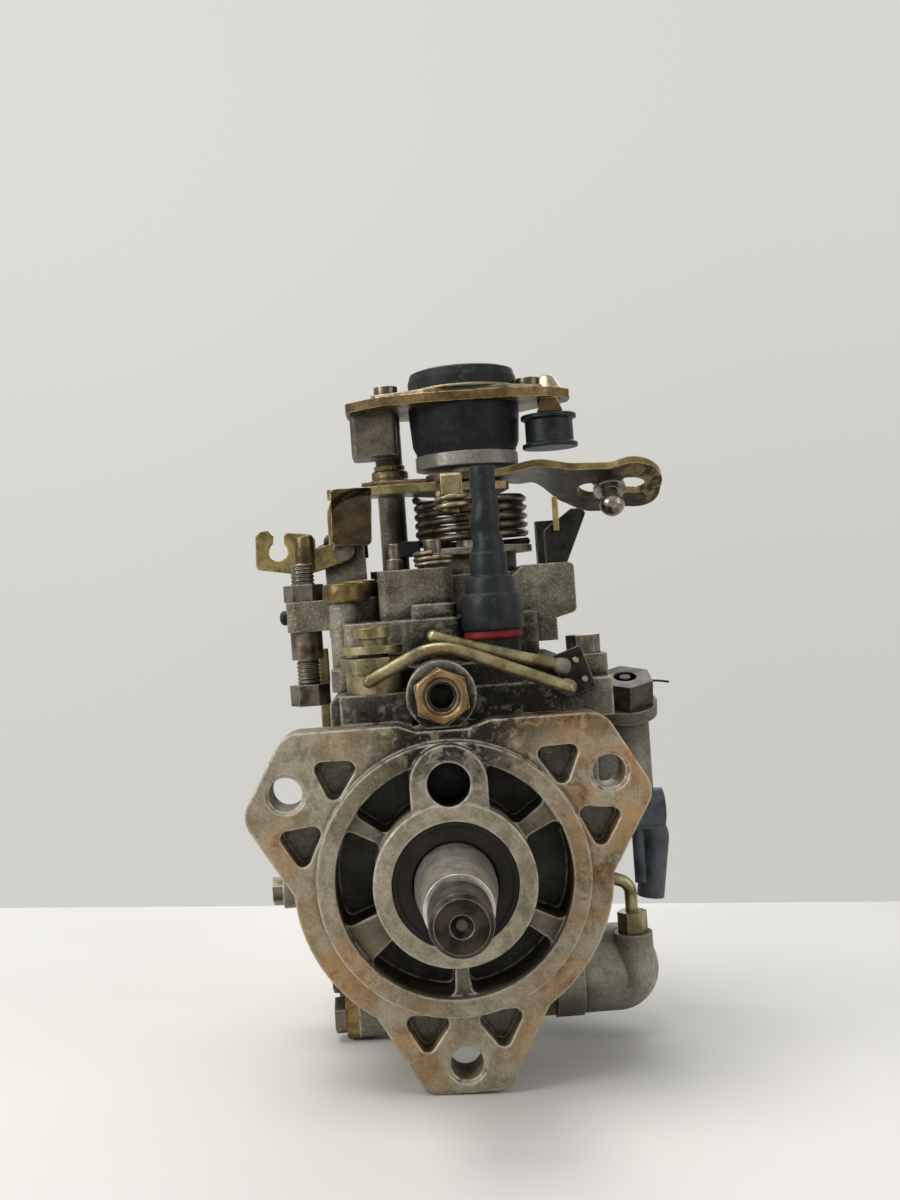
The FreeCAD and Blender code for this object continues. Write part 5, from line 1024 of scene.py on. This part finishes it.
def seeing_rays(tree):
    """1 for rays of the camera, of reflections and of glass, else 0."""
    rays = tree.nodes.new("ShaderNodeLightPath")
    seen = rays.outputs["Is Camera Ray"]
    for kind in ("Is Glossy Ray", "Is Transmission Ray"):
        either = tree.nodes.new("ShaderNodeMath")
        either.operation = "MAXIMUM"
        tree.links.new(seen, either.inputs[0])
        tree.links.new(rays.outputs[kind], either.inputs[1])
        seen = either.outputs[0]
    return seen


def world_light():
    """Soft light from all round, and a pale wall for the rays that see it."""
    world = bpy.data.worlds.new("room")
    bpy.context.scene.world = world
    world.use_nodes = True
    tree = world.node_tree
    lamp = tree.nodes["Background"]
    lamp.inputs["Color"].default_value = LAMP_COLOUR
    lamp.inputs["Strength"].default_value = LAMP_STRENGTH
    switch = tree.nodes.new("ShaderNodeMixShader")
    tree.links.new(seeing_rays(tree), switch.inputs[0])
    tree.links.new(lamp.outputs[0], switch.inputs[1])
    tree.links.new(wall_paint(tree).outputs[0], switch.inputs[2])
    tree.links.new(switch.outputs[0], tree.nodes["World Output"].inputs["Surface"])


# Square lamps that all point at the pump's middle
LAMPS_AIM = (0, 40, 40)
LAMPS = {
    "ceiling_panel": dict(at=(-200, 40, 900), size=500, power=5.2, colour=(1.0, 0.99, 0.97)),
    "left_window": dict(at=(-760, -460, 460), size=380, power=5.2, colour=(0.98, 0.99, 1.0)),
    "right_fill": dict(at=(800, -450, 340), size=600, power=2.2, colour=(1, 1, 1)),
    "rear_fill": dict(at=(200, 800, 500), size=600, power=2.6, colour=(1, 1, 1)),
}


def softbox(name, at, size, power, colour):
    data = bpy.data.lights.new(name, "AREA")
    data.shape = "SQUARE"
    data.size = size * MM
    data.energy = power
    data.color = colour
    lamp = bpy.data.objects.new(name, data)
    bpy.context.scene.collection.objects.link(lamp)
    lamp.location = Vector(at) * MM
    lamp.rotation_mode = "QUATERNION"
    lamp.rotation_quaternion = (Vector(LAMPS_AIM) - Vector(at)).to_track_quat("-Z", "Y")


def camera():
    """Level camera, rolled by the pump's lean, and turned so that the shaft's axis vanishes where it
    should."""
    data = bpy.data.cameras.new("camera")
    data.sensor_fit = "AUTO"
    data.sensor_width = SENSOR_HEIGHT
    data.lens = SENSOR_HEIGHT * FOCAL_PIXELS / PHOTO_HEIGHT
    data.clip_start = 0.01
    data.clip_end = 20
    view = bpy.data.objects.new("camera", data)
    bpy.context.scene.collection.objects.link(view)
    up = Vector((math.sin(PUMP_TILT), 0, math.cos(PUMP_TILT)))
    ahead = Vector(TO_BACK)
    right = ahead.cross(up)
    turn = math.atan((PHOTO_WIDTH / 2 - SHAFT_VANISHES_AT) / FOCAL_PIXELS)
    turned_ahead = ahead * math.cos(turn) + right * math.sin(turn)
    turned_right = right * math.cos(turn) - ahead * math.sin(turn)
    axes = Matrix((turned_right, up, -turned_ahead)).transposed().to_4x4()
    view.matrix_world = Matrix.Translation(Vector(CAMERA_AT) * MM) @ axes
    bpy.context.scene.camera = view


def main():
    dress_nodes()
    paint_parts()
    shaft_details()
    sensor_details()
    boot_details()
    lever_piece()
    hook_piece()
    throttle_details()
    bolt_details()
    cover_details()
    pipe_details()
    side_details()
    stage()
    world_light()
    for name, settings in LAMPS.items():
        softbox(name, **settings)
    camera()
    bpy.context.scene.view_settings.view_transform = "Standard"


main()
